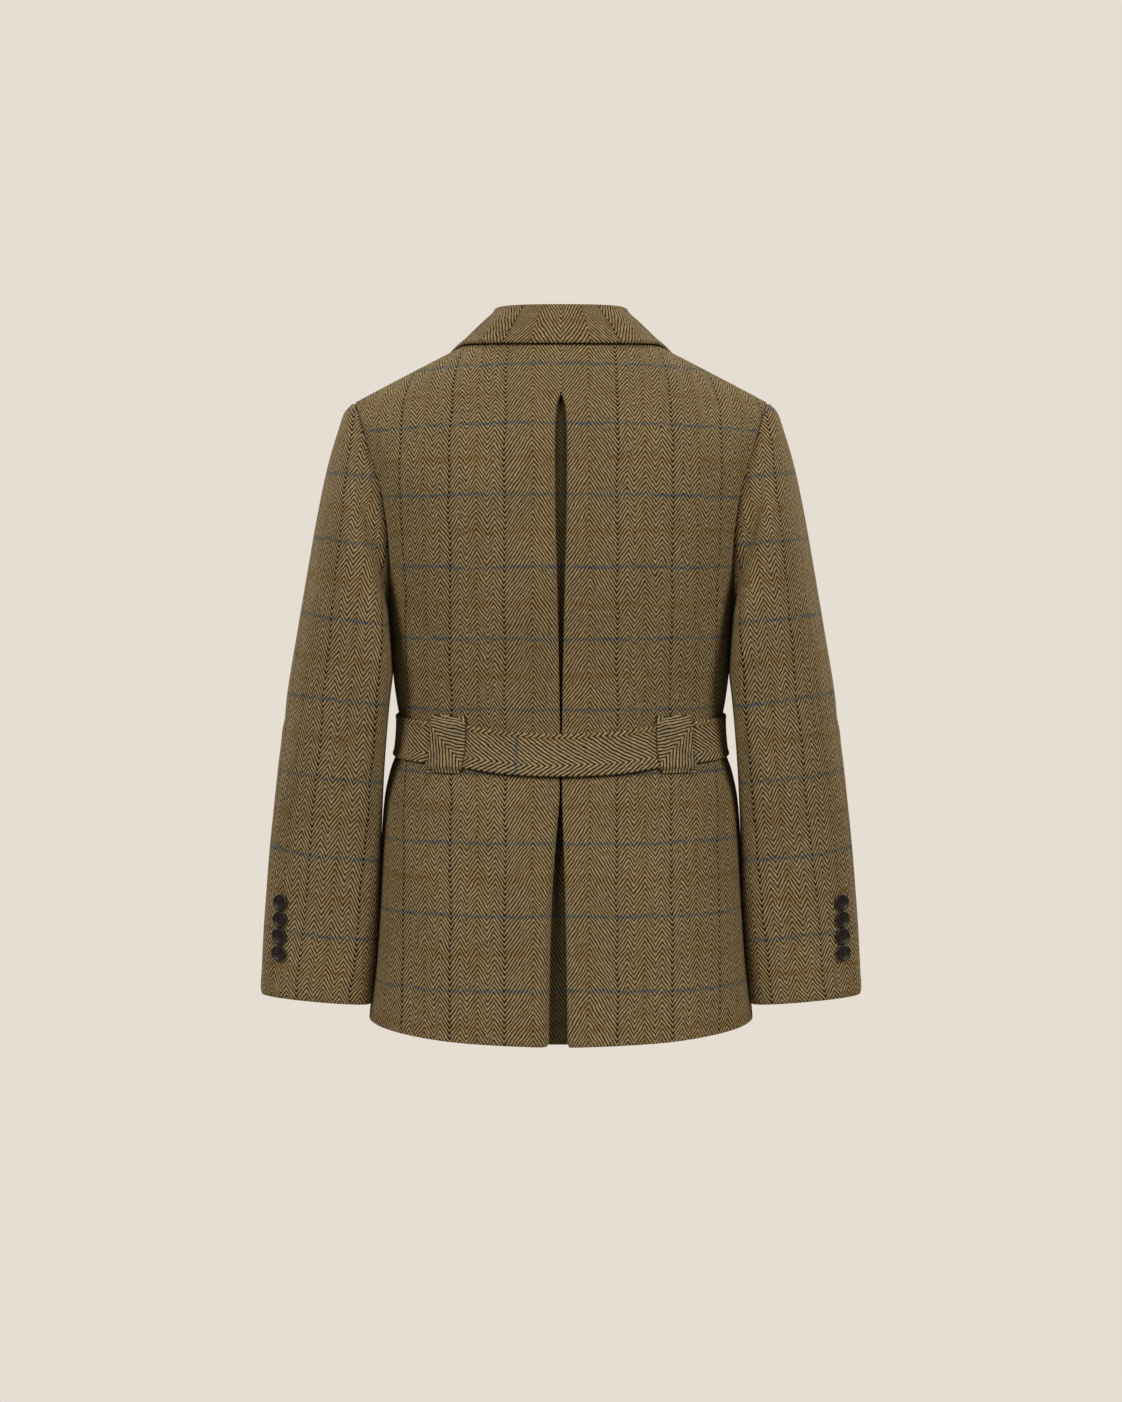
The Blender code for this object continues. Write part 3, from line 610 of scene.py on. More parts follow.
@dataclass(frozen=True)
class Tweed:
    """Woollen tweed, woven in herringbone and lightly milled.

    Two tones of yarn give slanting lines that turn at each column. Three columns lie between a dark
    dotted end, in a valley of the lines, and a rust end, on a peak. Blue and rust picks cross them as
    an overcheck. The milled face is matt, with a soft bloom of fibre where it turns away.
    """

    name: str = "woollen_herringbone_tweed"
    half_repeat: float = 0.0283
    turn_back: tuple[float, float] = (0.38, 0.62)
    pitch: float = 0.0052
    slope: float = 1.47
    check: float = 0.0717
    light_yarn: tuple[str, str] = ("#877451", "#a8956c")
    dark_yarn: tuple[str, str] = ("#23190c", "#3d2e19")
    blue_yarn: tuple[str, str] = ("#22282b", "#5a666c")
    rust_yarn: tuple[str, str] = ("#38230b", "#8d6c34")
    dotted_end: str = "#0e0904"
    blue_edge: tuple[float, float] = (0.0024, 0.0011)
    rust_pick_edge: tuple[float, float] = (0.0045, 0.0010)
    rust_end_edge: tuple[float, float] = (0.0042, 0.0006)
    rust_strength: float = 0.72
    dot_edge: tuple[float, float] = (0.0023, 0.0011)
    bloom: str = "#cdbb95"

    def material(self) -> bpy.types.Material:
        """Build the cloth on the flat UV map, whose unit is the metre."""
        material, tree = new_material(self.name)
        put = partial(add, tree)
        flat = put("ShaderNodeUVMap", uv_map=CLOTH_MAP)
        # Unevenness by its size in metres: columns, single lines, fibres drawn large enough to show, yarn
        # tones, the patches where the overcheck shows or sinks, and the dye
        slow, quick, fibre, tone, patch, broad = (
            put(NOISE, {"Vector": flat, "Scale": 1 / size, "Detail": detail}, out)
            for size, detail, out in ((0.050, 1.0, "Color"), (0.0080, 1.0, "Color"), (0.0012, 2.0, "Fac"),
                                      (0.0045, 2.0, "Fac"), (0.014, 3.0, "Fac"), (0.070, 2.0, "Fac")))
        moved = flat
        for noise, reach in ((slow, (0.0030, 0.0025, 0.0)), (quick, (0.0011, 0.0011, 0.0))):
            shift = put(VECTOR, {0: noise, 1: tuple(2.0 * r for r in reach), 2: tuple(-r for r in reach)},
                        operation="MULTIPLY_ADD")
            moved = put(VECTOR, {0: moved, 1: shift}, operation="ADD")
        parts = put("ShaderNodeSeparateXYZ", {0: moved}).node
        across, up = parts.outputs["X"], parts.outputs["Y"]
        # Slanting lines that rise from valley to peak and, away from the middle, turn back between them.
        # They lie 2.9 mm apart on the panels, a little more than in the real cloth, so that they show.
        low, high = (share * self.half_repeat for share in self.turn_back)
        fold = put(MATH, {0: across, 1: self.half_repeat}, operation="PINGPONG")
        away = put(MATH, {0: across}, operation="ABSOLUTE")
        away = put(MATH, {0: away, 1: 2.0 * self.half_repeat}, operation="GREATER_THAN")
        turned = put(MATH, {0: away, 1: 2.0 * (high - low)}, operation="MULTIPLY")
        back = put(RANGE, {0: fold, 1: low, 2: high, 3: 0.0, 4: turned})
        rise = put(MATH, {0: fold, 1: back}, operation="SUBTRACT")
        slant = put(MATH, {0: rise, 1: -self.slope, 2: up}, operation="MULTIPLY_ADD")
        phase = put(MATH, {0: slant, 1: self.pitch}, operation="DIVIDE")
        line = put(MATH, {0: phase, 1: 0.5}, operation="PINGPONG")
        lifted = put(MATH, {0: fibre, 1: 0.22, 2: line}, operation="MULTIPLY_ADD")
        yarn = put(RANGE, {0: lifted, 1: 0.24, 2: 0.42}, interpolation_type="SMOOTHSTEP")
        tone = put(RANGE, {0: tone, 1: 0.30, 2: 0.70})
        patch = put(RANGE, {0: patch, 1: 0.36, 2: 0.64})
        # Blue picks, with rust picks halfway between them and a rust end on each peak
        half = self.check / 2.0
        near_blue = put(MATH, {0: up, 1: half, 2: -half}, operation="WRAP")
        near_blue = put(MATH, {0: near_blue}, operation="ABSOLUTE")
        blue = put(RANGE, {0: near_blue, 1: self.blue_edge[0], 2: self.blue_edge[1]})
        dim = put(MATH, {0: patch, 1: 0.55, 2: 0.32}, operation="MULTIPLY_ADD")
        blue = put(MATH, {0: blue, 1: dim}, operation="MULTIPLY")
        near_rust = put(MATH, {0: near_blue, 1: half}, operation="SUBTRACT")
        near_rust = put(MATH, {0: near_rust}, operation="ABSOLUTE")
        pick = put(RANGE, {0: near_rust, 1: self.rust_pick_edge[0], 2: self.rust_pick_edge[1]})
        outside, inside = (self.half_repeat - edge for edge in self.rust_end_edge)
        end = put(RANGE, {0: fold, 1: outside, 2: inside})
        rust = put(MATH, {0: pick, 1: end}, operation="MAXIMUM")
        for factor in (patch, self.rust_strength):
            rust = put(MATH, {0: rust, 1: factor}, operation="MULTIPLY")
        # Each thing that shows is drawn once for the dark yarn and once for the light one
        shades = []
        for side, plain in enumerate((self.dark_yarn, self.light_yarn)):
            shade = put(MIX, {0: tone, 6: linear(plain[0]), 7: linear(plain[1])}, 2, data_type="RGBA")
            for share, tint in ((rust, self.rust_yarn), (blue, self.blue_yarn)):
                shade = put(MIX, {0: share, 6: shade, 7: linear(tint[side])}, 2, data_type="RGBA")
            shades.append(shade)
        colour = put(MIX, {0: yarn, 6: shades[0], 7: shades[1]}, 2, data_type="RGBA")
        # One dark dot a line in the valleys, stronger in some; none in the valley at the middle of the back
        number = put(MATH, {0: across, 1: 0.5 / self.half_repeat, 2: 0.5}, operation="MULTIPLY_ADD")
        number = put(MATH, {0: number}, operation="FLOOR")
        inked = put("ShaderNodeTexWhiteNoise", {"W": number}, "Value", noise_dimensions="1D")
        inked = put(RANGE, {0: inked, 3: 0.70, 4: 1.0})
        aside = put(MATH, {0: number}, operation="ABSOLUTE")
        aside = put(MATH, {0: aside, 1: 1.0}, operation="MINIMUM")
        valley = put(RANGE, {0: fold, 1: self.dot_edge[0], 2: self.dot_edge[1]})
        dots = put(RANGE, {0: line, 1: 0.40, 2: 0.24})
        for factor in (valley, inked, aside):
            dots = put(MATH, {0: dots, 1: factor}, operation="MULTIPLY")
        colour = put(MIX, {0: dots, 6: colour, 7: linear(self.dotted_end)}, 2, data_type="RGBA")
        broad = put(RANGE, {0: broad, 1: 0.3, 2: 0.7, 3: 0.94, 4: 1.06})
        colour = put(VECTOR, {0: colour, "Scale": broad}, operation="SCALE")
        # Raised yarns and loose fibre
        relief = put(MATH, {0: fibre, 1: 0.45, 2: yarn}, operation="MULTIPLY_ADD")
        bump = put("ShaderNodeBump", {"Height": relief, "Strength": 0.60, "Distance": 0.00045}, "Normal")
        shader = put(SHADER, {
            "Base Color": colour, "Roughness": 0.94, "Specular IOR Level": 0.20, "IOR": 1.54, "Normal": bump,
            "Sheen Weight": 0.10, "Sheen Roughness": 0.45, "Sheen Tint": linear(self.bloom)}, "BSDF")
        put(OUTPUT, {"Surface": shader})
        return material


@dataclass(frozen=True)
class Horn:
    """Buffalo horn, turned and rubbed: nearly black brown with faint paler streaks and a soft gloss."""

    name: str = "rubbed_horn"
    body: str = "#1c150e"
    streak: str = "#35281b"
    grain: float = 0.0030

    def material(self) -> bpy.types.Material:
        """Build the horn on Object coordinates."""
        material, tree = new_material(self.name)
        put = partial(add, tree)
        place = put("ShaderNodeTexCoord", out="Object")
        drawn = put("ShaderNodeMapping", {"Vector": place, "Scale": (1.0, 1.0, 0.35)})
        cloud = put(NOISE, {"Vector": drawn, "Scale": 1 / self.grain, "Detail": 4.0, "Distortion": 0.8},
                    "Fac")
        streaks = put(RANGE, {0: cloud, 1: 0.46, 2: 0.74})
        colour = put(MIX, {0: streaks, 6: linear(self.body), 7: linear(self.streak)}, 2, data_type="RGBA")
        worn = put(RANGE, {0: cloud, 1: 0.3, 2: 0.7, 3: 0.42, 4: 0.55})
        bump = put("ShaderNodeBump", {"Height": cloud, "Strength": 0.10, "Distance": 0.0001}, "Normal")
        shader = put(SHADER, {"Base Color": colour, "Roughness": worn, "IOR": 1.54,
                              "Specular IOR Level": 0.35, "Normal": bump}, "BSDF")
        put(OUTPUT, {"Surface": shader})
        return material


@dataclass(frozen=True)
class SewingThread:
    """Spun sewing thread: matt, twisted, a shade away from the cloth."""

    name: str
    colour: str
    deep: str
    twist: float = 0.0006

    def material(self) -> bpy.types.Material:
        """Build the thread on Object coordinates."""
        material, tree = new_material(self.name)
        put = partial(add, tree)
        place = put("ShaderNodeTexCoord", out="Object")
        ply = put(NOISE, {"Vector": place, "Scale": 1 / self.twist, "Detail": 2.0}, "Fac")
        share = put(RANGE, {0: ply, 1: 0.35, 2: 0.65})
        colour = put(MIX, {0: share, 6: linear(self.deep), 7: linear(self.colour)}, 2, data_type="RGBA")
        bump = put("ShaderNodeBump", {"Height": ply, "Strength": 0.4, "Distance": 0.0001}, "Normal")
        shader = put(SHADER, {"Base Color": colour, "Roughness": 0.85, "IOR": 1.5,
                              "Specular IOR Level": 0.3, "Normal": bump}, "BSDF")
        put(OUTPUT, {"Surface": shader})
        return material


@dataclass(frozen=True)
class FloorPaper:
    """Pale matt studio paper with a barely seen mottle, which thins out to nothing at its rim."""

    name: str = "pale_studio_paper"
    colour: str = "#f4eee7"
    shade: str = "#efe8e0"
    whole: float = 0.60
    gone: float = 1.20

    def material(self) -> bpy.types.Material:
        """Build the paper on Object coordinates."""
        material, tree = new_material(self.name)
        put = partial(add, tree)
        place = put("ShaderNodeTexCoord", out="Object")
        mottle = put(NOISE, {"Vector": place, "Scale": 3.0, "Detail": 4.0}, "Fac")
        colour = put(MIX, {0: mottle, 6: linear(self.shade), 7: linear(self.colour)}, 2, data_type="RGBA")
        flat = put(VECTOR, {0: place, 1: (1.0, 1.0, 0.0)}, operation="MULTIPLY")
        away = put(VECTOR, {0: flat}, "Value", operation="LENGTH")
        solid = put(RANGE, {0: away, 1: self.gone, 2: self.whole}, interpolation_type="SMOOTHERSTEP")
        shader = put(SHADER, {"Base Color": colour, "Roughness": 0.95, "Alpha": solid,
                              "Specular IOR Level": 0.0}, "BSDF")
        put(OUTPUT, {"Surface": shader})
        return material


def placed(name: str, data: bpy.types.ID) -> bpy.types.Object:
    """New object of that name and data in the scene."""
    made = bpy.data.objects.new(name, data)
    bpy.context.scene.collection.objects.link(made)
    return made


def show(name: str, mesh: bpy.types.Mesh, material: bpy.types.Material,
         nodes: Sequence[str] = ()) -> bpy.types.Object:
    """Place a finished mesh as a piece of the jacket.

    Args:
        name: Name of the piece.
        mesh: Its mesh, in the frame's coordinates.
        material: Its finish.
        nodes: Nodes that the piece stands for.

    Returns:
        The object.
    """
    mesh.materials.clear()
    mesh.materials.append(material)
    piece = placed(name, mesh)
    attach(piece, "root")
    if nodes:
        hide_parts(*nodes)
    LOG.info("%s: %d faces", name, len(mesh.polygons))
    return piece


def show_cloth(sheet: ClothSheet, node: str, material: bpy.types.Material) -> None:
    """Place a piece of cloth and state the size that it was cut to.

    Args:
        sheet: The cloth.
        node: Node that it stands for.
        material: Its finish.
    """
    piece = show(sheet.name, sheet.mesh(), material, [node])
    width, length = sheet.cut()
    area = min(sheet.area(), width * length)
    LOG.info("%s: cut %.3f by %.3f m, %.4f square metres", sheet.name, width, length, area)


@dataclass(frozen=True)
class CheckRun:
    """How far the overcheck has run at each place along a piece: whole numbers are blue lines."""

    line: Table
    repeat: float = Tweed.check

    def cloth(self, at: Any) -> np.ndarray:
        """Place on the flat cloth, in metres, of a place along the piece."""
        knots = self.line.rows
        inside = self.line.read("count", at)
        before = (np.asarray(at, float) - knots[0, 0]) / (knots[1, 0] - knots[0, 0])
        after = (np.asarray(at, float) - knots[-1, 0]) / (knots[-1, 0] - knots[-2, 0])
        inside = inside + np.minimum(before, 0.0) * (knots[1, 1] - knots[0, 1])
        inside = inside + np.maximum(after, 0.0) * (knots[-1, 1] - knots[-2, 1])
        return inside * self.repeat


@dataclass(frozen=True)
class Back:
    """The two halves of the back, with the middle pleat above the belt and the vent below it."""

    form: BodyForm
    wall: float = 0.0022
    pleat_depth: float = 0.0066
    vent_depth: float = 0.0130
    underlay_half: float = 0.030
    underlay_top: float = -0.046
    underlay_rise: float = 0.0020
    vent_top: tuple[float, float] = (-0.46, -0.40)
    step: float = 0.0040
    spare: float = 0.06
    plain_lead: float = 0.0030
    belt_height: float = -0.418
    droop: float = 0.006
    droop_half: float = 0.19
    droop_heights: tuple[float, float] = (-0.25, -0.08)
    pleat: Table = field(default=Table(
        "height left_gap right_gap left_roll right_roll share",
        (-0.716, 0.0122, 0.0066, 0.0110, 0.0026, 1.0),
        (-0.640, 0.0110, 0.0054, 0.0110, 0.0026, 1.0),
        (-0.570, 0.0088, 0.0040, 0.0100, 0.0026, 1.0),
        (-0.510, 0.0046, 0.0022, 0.0075, 0.0026, 1.0),
        (-0.465, 0.0012, 0.0008, 0.0030, 0.0026, 1.0),
        (-0.415, 0.0008, 0.0008, 0.0028, 0.0028, 1.0),
        (-0.360, 0.0015, 0.0015, 0.0030, 0.0030, 1.0),
        (-0.300, 0.0028, 0.0028, 0.0032, 0.0032, 1.0),
        (-0.225, 0.0044, 0.0044, 0.0034, 0.0034, 1.0),
        (-0.170, 0.0056, 0.0056, 0.0034, 0.0034, 1.0),
        (-0.106, 0.0057, 0.0057, 0.0030, 0.0030, 1.0),
        (-0.086, 0.0050, 0.0050, 0.0028, 0.0028, 1.0),
        (-0.073, 0.0036, 0.0036, 0.0026, 0.0026, 0.9),
        (-0.0615, 0.0, 0.0, 0.0026, 0.0026, 0.0),
        (0.0, 0.0, 0.0, 0.0026, 0.0026, 0.0)))
    check: CheckRun = CheckRun(Table(
        "height count",
        (-0.665, -10), (-0.590, -9), (-0.517, -8), (-0.447, -7), (-0.383, -6), (-0.311, -5), (-0.2385, -4),
        (-0.1650, -3), (-0.0936, -2), (-0.0330, -1)))
    creases: tuple[Crease, ...] = (
        Crease(0.182, -0.455, 0.176, -0.560, 0.0075, 0.0020, 0.004),
        Crease(0.160, -0.452, 0.158, -0.520, 0.0060, 0.0012, -0.002),
        Crease(0.128, -0.455, 0.136, -0.530, 0.0075, 0.0009, 0.003),
        Crease(0.090, -0.462, 0.094, -0.515, 0.0070, 0.0006, -0.002),
        Crease(0.170, -0.392, 0.160, -0.330, 0.0065, 0.0013, 0.004),
        Crease(0.140, -0.395, 0.128, -0.345, 0.0070, 0.0008, -0.003),
        Crease(0.176, -0.262, 0.140, -0.330, 0.0090, 0.0012, -0.006),
        Crease(0.172, -0.215, 0.150, -0.290, 0.0110, 0.0010, 0.005),
        Crease(0.188, -0.130, 0.150, -0.190, 0.0130, 0.0008, 0.006),
        Crease(0.150, -0.600, 0.155, -0.690, 0.0140, 0.0009, 0.004),
        Crease(0.060, -0.560, 0.066, -0.690, 0.0160, 0.0008, -0.004),
    )

    def depth(self, level: Any) -> np.ndarray:
        """How far behind the back the strip under the pleat lies."""
        return self.vent_depth + (self.pleat_depth - self.vent_depth) * soft_step(*self.vent_top, level)

    def row(self, hand: Hand, level: float) -> tuple[np.ndarray, np.ndarray, np.ndarray]:
        """Row of a half from its turned-in middle edge to the side.

        Args:
            hand: Which half.
            level: Level of the row.

        Returns:
            Points in the left-hand layout, places across the flat cloth, and distances to the seam.
        """
        form, read = self.form, self.pleat.read
        share = float(read("share", level))
        seam = SEAM_GAP / 2.0 * (0.15 + 0.85 * share)
        gap = float(read(hand.side + "_gap", level)) + seam
        roll = float(read(hand.side + "_roll", level))
        turns, points, run = form.row_line(Face.BACK, gap, level)
        angle = np.linspace(0.0, math.pi / 2.0, 9)
        inward = np.linspace(float(self.depth(level)), roll, 5)[:-1]
        leads = np.concatenate([np.zeros(4), roll * (1.0 - np.cos(angle))])
        depths = np.concatenate([inward, roll * (1.0 - np.sin(angle))])
        cloth = np.concatenate([inward - roll + roll * math.pi / 2.0, roll * (math.pi / 2.0 - angle)])
        flat = np.linspace(0.0, self.plain_lead, len(leads))
        leads = flat + (leads - flat) * share
        lead_turns = along(run, turns, leads)
        rolled = form.lifted(lead_turns, form.hem_level(level, lead_turns), -depths * share)
        finish = run[-1] - SEAM_GAP / 2.0
        columns = int((form.half_width(form.underarm_height) + self.spare) / self.step)
        strip = np.linspace(0.0, 1.0, columns + 1)
        rest = leads[-1] + (finish - EDGE_STRIP[-1] - leads[-1]) * strip[1:]
        rest = np.concatenate([rest, finish - EDGE_STRIP[-2::-1]])
        row = np.concatenate([rolled, along(run, points, rest)])
        turned = gap + leads[-1] - cloth
        across = np.concatenate([turned * share + (gap + leads) * (1.0 - share), gap + rest])
        to_seam = np.concatenate([finish - leads, finish - rest])
        return row, across, to_seam

    def half(self, hand: Hand) -> ClothSheet:
        """Cloth of one half.

        Args:
            hand: Which half.

        Returns:
            The cloth.
        """
        rows = [self.row(hand, float(level)) for level in self.form.levels()]
        points, across, to_seam = (np.stack([row[i] for row in rows]) for i in range(3))
        height = points[..., 2]
        droop = self.droop * (across / self.droop_half) ** 2 * soft_step(*self.droop_heights, height)
        chart = np.stack([across * hand.value, self.check.cloth(height + droop)], axis=-1)
        outward = level_way(points)
        rounded = {Edge.FIRST_ROW: FOLD_ROUND, Edge.FIRST_COLUMN: 0.0002}
        sheet = ClothSheet(f"back_{hand.side}_cloth", points, chart, self.wall, outward, rounded)
        folds = pressed(self.creases, across, height, to_seam, self.belt_height)
        sheet.push(seam_ditch(to_seam) + self.form.hem_roll(height) + folds)
        return sheet.mirrored(hand)

    def underlay(self) -> ClothSheet:
        """Cloth of the strip behind the pleat and the vent."""
        form = self.form
        levels = graded(form.hem_height + self.underlay_rise, self.underlay_top, 0.006, True, True)
        across = np.linspace(-self.underlay_half, self.underlay_half, 17)
        level_grid, across_grid = np.meshgrid(levels, across, indexing="ij")
        turns = form.turn_at(Face.BACK, across_grid, level_grid)
        depth = self.depth(level_grid) + SEAM_GAP
        points = form.lifted(turns, form.hem_level(level_grid, turns), -depth)
        chart = np.stack([across_grid + self.underlay_half * 0.4, self.check.cloth(points[..., 2])], axis=-1)
        outward = np.array([0.0, 1.0, 0.0])
        return ClothSheet("pleat_underlay_cloth", points, chart, self.wall, outward, {Edge.FIRST_ROW: 0.0006})

    def build(self, material: bpy.types.Material, deep: bpy.types.Material) -> None:
        """Place the two halves and the strip behind them, in a darker copy of the tweed that is painted shade
        of the pleat.
        """
        for hand in Hand:
            show_cloth(self.half(hand), f"back_{hand.side}", material)
        show_cloth(self.underlay(), "pleat_underlay", deep)


@dataclass(frozen=True)
class Fronts:
    """The two fronts, left over right, and their lapels."""

    form: BodyForm
    wall: float = 0.0022
    lapel_wall: float = 0.0024
    step: float = 0.0040
    spare: float = 0.08
    belt_height: float = -0.413
    closing_in: float = 0.0006
    closing_width: float = 0.0016
    closing_heights: tuple[float, float] = (-0.27, -0.29)
    under_sink: float = 0.0034
    under_sink_from: float = 0.060
    under_sink_full: float = 0.024
    lapel_tuck: float = 0.0090
    lapel_lie: float = 0.0039
    lapel_curl: float = 0.0028
    lapel_break: float = -0.276
    lapel_hidden: float = -0.252
    lapel_top: float = -0.0440
    lapel_grain: tuple[float, float] = (0.94, 0.34)
    gorge_slope: float = -0.19
    gorge_share: float = 0.54
    edge: Table = field(default=Table(
        "height across",
        (-0.716, 0.0520), (-0.700, 0.0240), (-0.680, 0.0040), (-0.655, -0.0080), (-0.610, -0.0160),
        (-0.540, -0.0200), (-0.330, -0.0200), (-0.300, -0.0160), (-0.285, -0.0120), (-0.200, 0.0125),
        (-0.100, 0.0412), (-0.040, 0.0585), (0.000, 0.0700)))
    lapel: Table = field(default=Table(
        "roll_height edge_across edge_height lift gorge",
        (-0.276, 0.0030, -0.2780, 0.0038, 0.0),
        (-0.266, 0.0145, -0.2690, 0.0042, 0.0),
        (-0.252, 0.0290, -0.2560, 0.0048, 0.0),
        (-0.225, 0.0560, -0.2290, 0.0054, 0.0),
        (-0.190, 0.0850, -0.1930, 0.0062, 0.0),
        (-0.150, 0.1120, -0.1500, 0.0066, 0.0),
        (-0.110, 0.1320, -0.1120, 0.0066, 0.0),
        (-0.075, 0.1420, -0.0920, 0.0064, 0.0),
        (-0.0440, 0.1440, -0.0830, 0.0062, 1.0)))
    check: CheckRun = Back.check
    creases: tuple[Crease, ...] = (
        Crease(0.200, -0.452, 0.196, -0.560, 0.0075, 0.0017, 0.004),
        Crease(0.165, -0.455, 0.160, -0.520, 0.0065, 0.0012, -0.003),
        Crease(0.120, -0.452, 0.126, -0.545, 0.0080, 0.0009, 0.003),
        Crease(0.190, -0.390, 0.178, -0.330, 0.0065, 0.0012, 0.004),
        Crease(0.120, -0.392, 0.100, -0.335, 0.0080, 0.0010, -0.003),
        Crease(0.060, -0.393, 0.042, -0.325, 0.0080, 0.0009, 0.004),
        Crease(0.185, -0.255, 0.140, -0.320, 0.0100, 0.0013, -0.006),
        Crease(0.172, -0.180, 0.130, -0.255, 0.0120, 0.0010, 0.006),
        Crease(0.150, -0.595, 0.156, -0.690, 0.0140, 0.0009, -0.004),
    )

    def sink(self, hand: Hand, across: np.ndarray) -> np.ndarray:
        """How far the front that lies underneath is sunk near the closing edge."""
        if hand is Hand.LEFT:
            return np.zeros_like(across)
        return self.under_sink * (1.0 - soft_step(self.under_sink_full, self.under_sink_from, across))

    def row(self, hand: Hand, level: float) -> tuple[np.ndarray, np.ndarray, np.ndarray, np.ndarray]:
        """Row of a front from its closing edge to the side.

        Args:
            hand: Which front.
            level: Level of the row.

        Returns:
            Points in the left-hand layout, places across the flat cloth, and distances to the seam
            and to the closing edge.
        """
        form = self.form
        start = float(self.edge.read("across", level))
        turns, points, run = form.row_line(Face.FRONT, start, level)
        finish = run[-1] - SEAM_GAP / 2.0
        count = int((form.half_width(form.underarm_height) + self.spare) / self.step)
        middle = np.linspace(EDGE_STRIP[-1], finish - EDGE_STRIP[-1], count)
        places = np.concatenate([EDGE_STRIP, middle[1:-1], finish - EDGE_STRIP[::-1]])
        at = along(run, turns, places)
        row = along(run, points, places)
        sunk = self.sink(hand, row[:, 0])
        row = np.where((sunk > 0.0)[:, None], form.lifted(at, form.hem_level(level, at), -sunk), row)
        return row, start + places, finish - places, places

    def front(self, hand: Hand) -> ClothSheet:
        """Cloth of one front.

        Args:
            hand: Which front.

        Returns:
            The cloth.
        """
        rows = [self.row(hand, float(level)) for level in self.form.levels()]
        points, across, to_seam, to_edge = (np.stack([row[i] for row in rows]) for i in range(4))
        height = points[..., 2]
        chart = np.stack([-across * hand.value, self.check.cloth(height)], axis=-1)
        outward = level_way(points)
        rounded = {Edge.FIRST_ROW: FOLD_ROUND, Edge.FIRST_COLUMN: 0.0006}
        sheet = ClothSheet(f"front_{hand.side}_cloth", points, chart, self.wall, outward, rounded)
        closing = -self.closing_in * hump(to_edge, self.closing_width)
        closing = closing * soft_step(*self.closing_heights, height)
        folds = pressed(self.creases, across, height, to_seam, self.belt_height)
        sheet.push(seam_ditch(to_seam) + closing + self.form.hem_roll(height) + folds)
        return sheet.mirrored(hand)

    def over(self, across: np.ndarray, height: np.ndarray, lift: np.ndarray) -> np.ndarray:
        """Points over the fronts, in the left-hand layout."""
        turn = self.form.turn_at(Face.FRONT, across, height)
        return self.form.lifted(turn, self.form.hem_level(height, turn), lift)

    def lapel_sheet(self, hand: Hand) -> ClothSheet:
        """Cloth of one lapel, from its rolled edge, or from under the other front, to its free edge.

        Args:
            hand: Which lapel.

        Returns:
            The cloth.
        """
        lowest = self.lapel_break if hand is Hand.LEFT else self.lapel_hidden
        heights = graded(lowest, self.lapel_top, 0.0030, True, True)[:, None]
        read = self.lapel.read
        roll = self.edge.read("across", heights)
        if hand is Hand.RIGHT:
            roll = np.maximum(roll, self.lapel_tuck - roll)
        lift = read("lift", heights)
        edge_across, edge_height = read("edge_across", heights), read("edge_height", heights)
        knots = Curve((0.0, 0.14, 0.28, 0.36, 0.44), np.array([
            [-self.lapel_curl, -0.0006, 0.0], [-self.lapel_curl - 0.0004, 0.0, 0.55],
            [-self.lapel_curl * 0.5, 0.0, 0.92], [0.0, 0.0, 0.985], [0.0, 0.0, 1.0]]))
        curl = knots(np.linspace(0.0, 0.36, 9))
        curl_across = roll + curl[None, :, 0]
        curl_lift = curl[None, :, 1] + lift * curl[None, :, 2]
        share = np.concatenate([np.linspace(0.0, 1.0, 31)[1:-1], [0.985, 0.995, 1.0]])[None, :]
        across = roll + (edge_across - roll) * share
        level = heights + (edge_height - heights) * share
        seam = heights + self.gorge_slope * (across - roll)
        end = heights + self.gorge_slope * (edge_across - roll)
        notch = np.maximum(0.0, (share - self.gorge_share) / (1.0 - self.gorge_share))
        level = level + (seam + (edge_height - end) * notch - level) * read("gorge", heights)
        rise = self.lapel_lie + (lift - self.lapel_lie) * (1.0 - share) ** 2
        points = np.concatenate([
            self.over(curl_across, np.broadcast_to(heights, curl_across.shape), curl_lift),
            self.over(across, level, rise)], axis=1)
        flat_across = np.concatenate([curl_across, across], axis=1)
        outward = np.array([0.0, -1.0, 0.0])
        height = points[..., 2]
        grain = flat_across * self.lapel_grain[0] + height * self.lapel_grain[1]
        chart = np.stack([grain * hand.value, self.check.cloth(height)], axis=-1)
        rounded = {edge: FOLD_ROUND for edge in Edge}
        sheet = ClothSheet(f"lapel_{hand.side}_cloth", points, chart, self.lapel_wall, outward, rounded)
        return sheet.mirrored(hand)

    def build(self, material: bpy.types.Material) -> None:
        """Place the fronts and the lapels."""
        for hand in Hand:
            show_cloth(self.front(hand), f"front_{hand.side}", material)
            show_cloth(self.lapel_sheet(hand), f"lapel_{hand.side}", material)


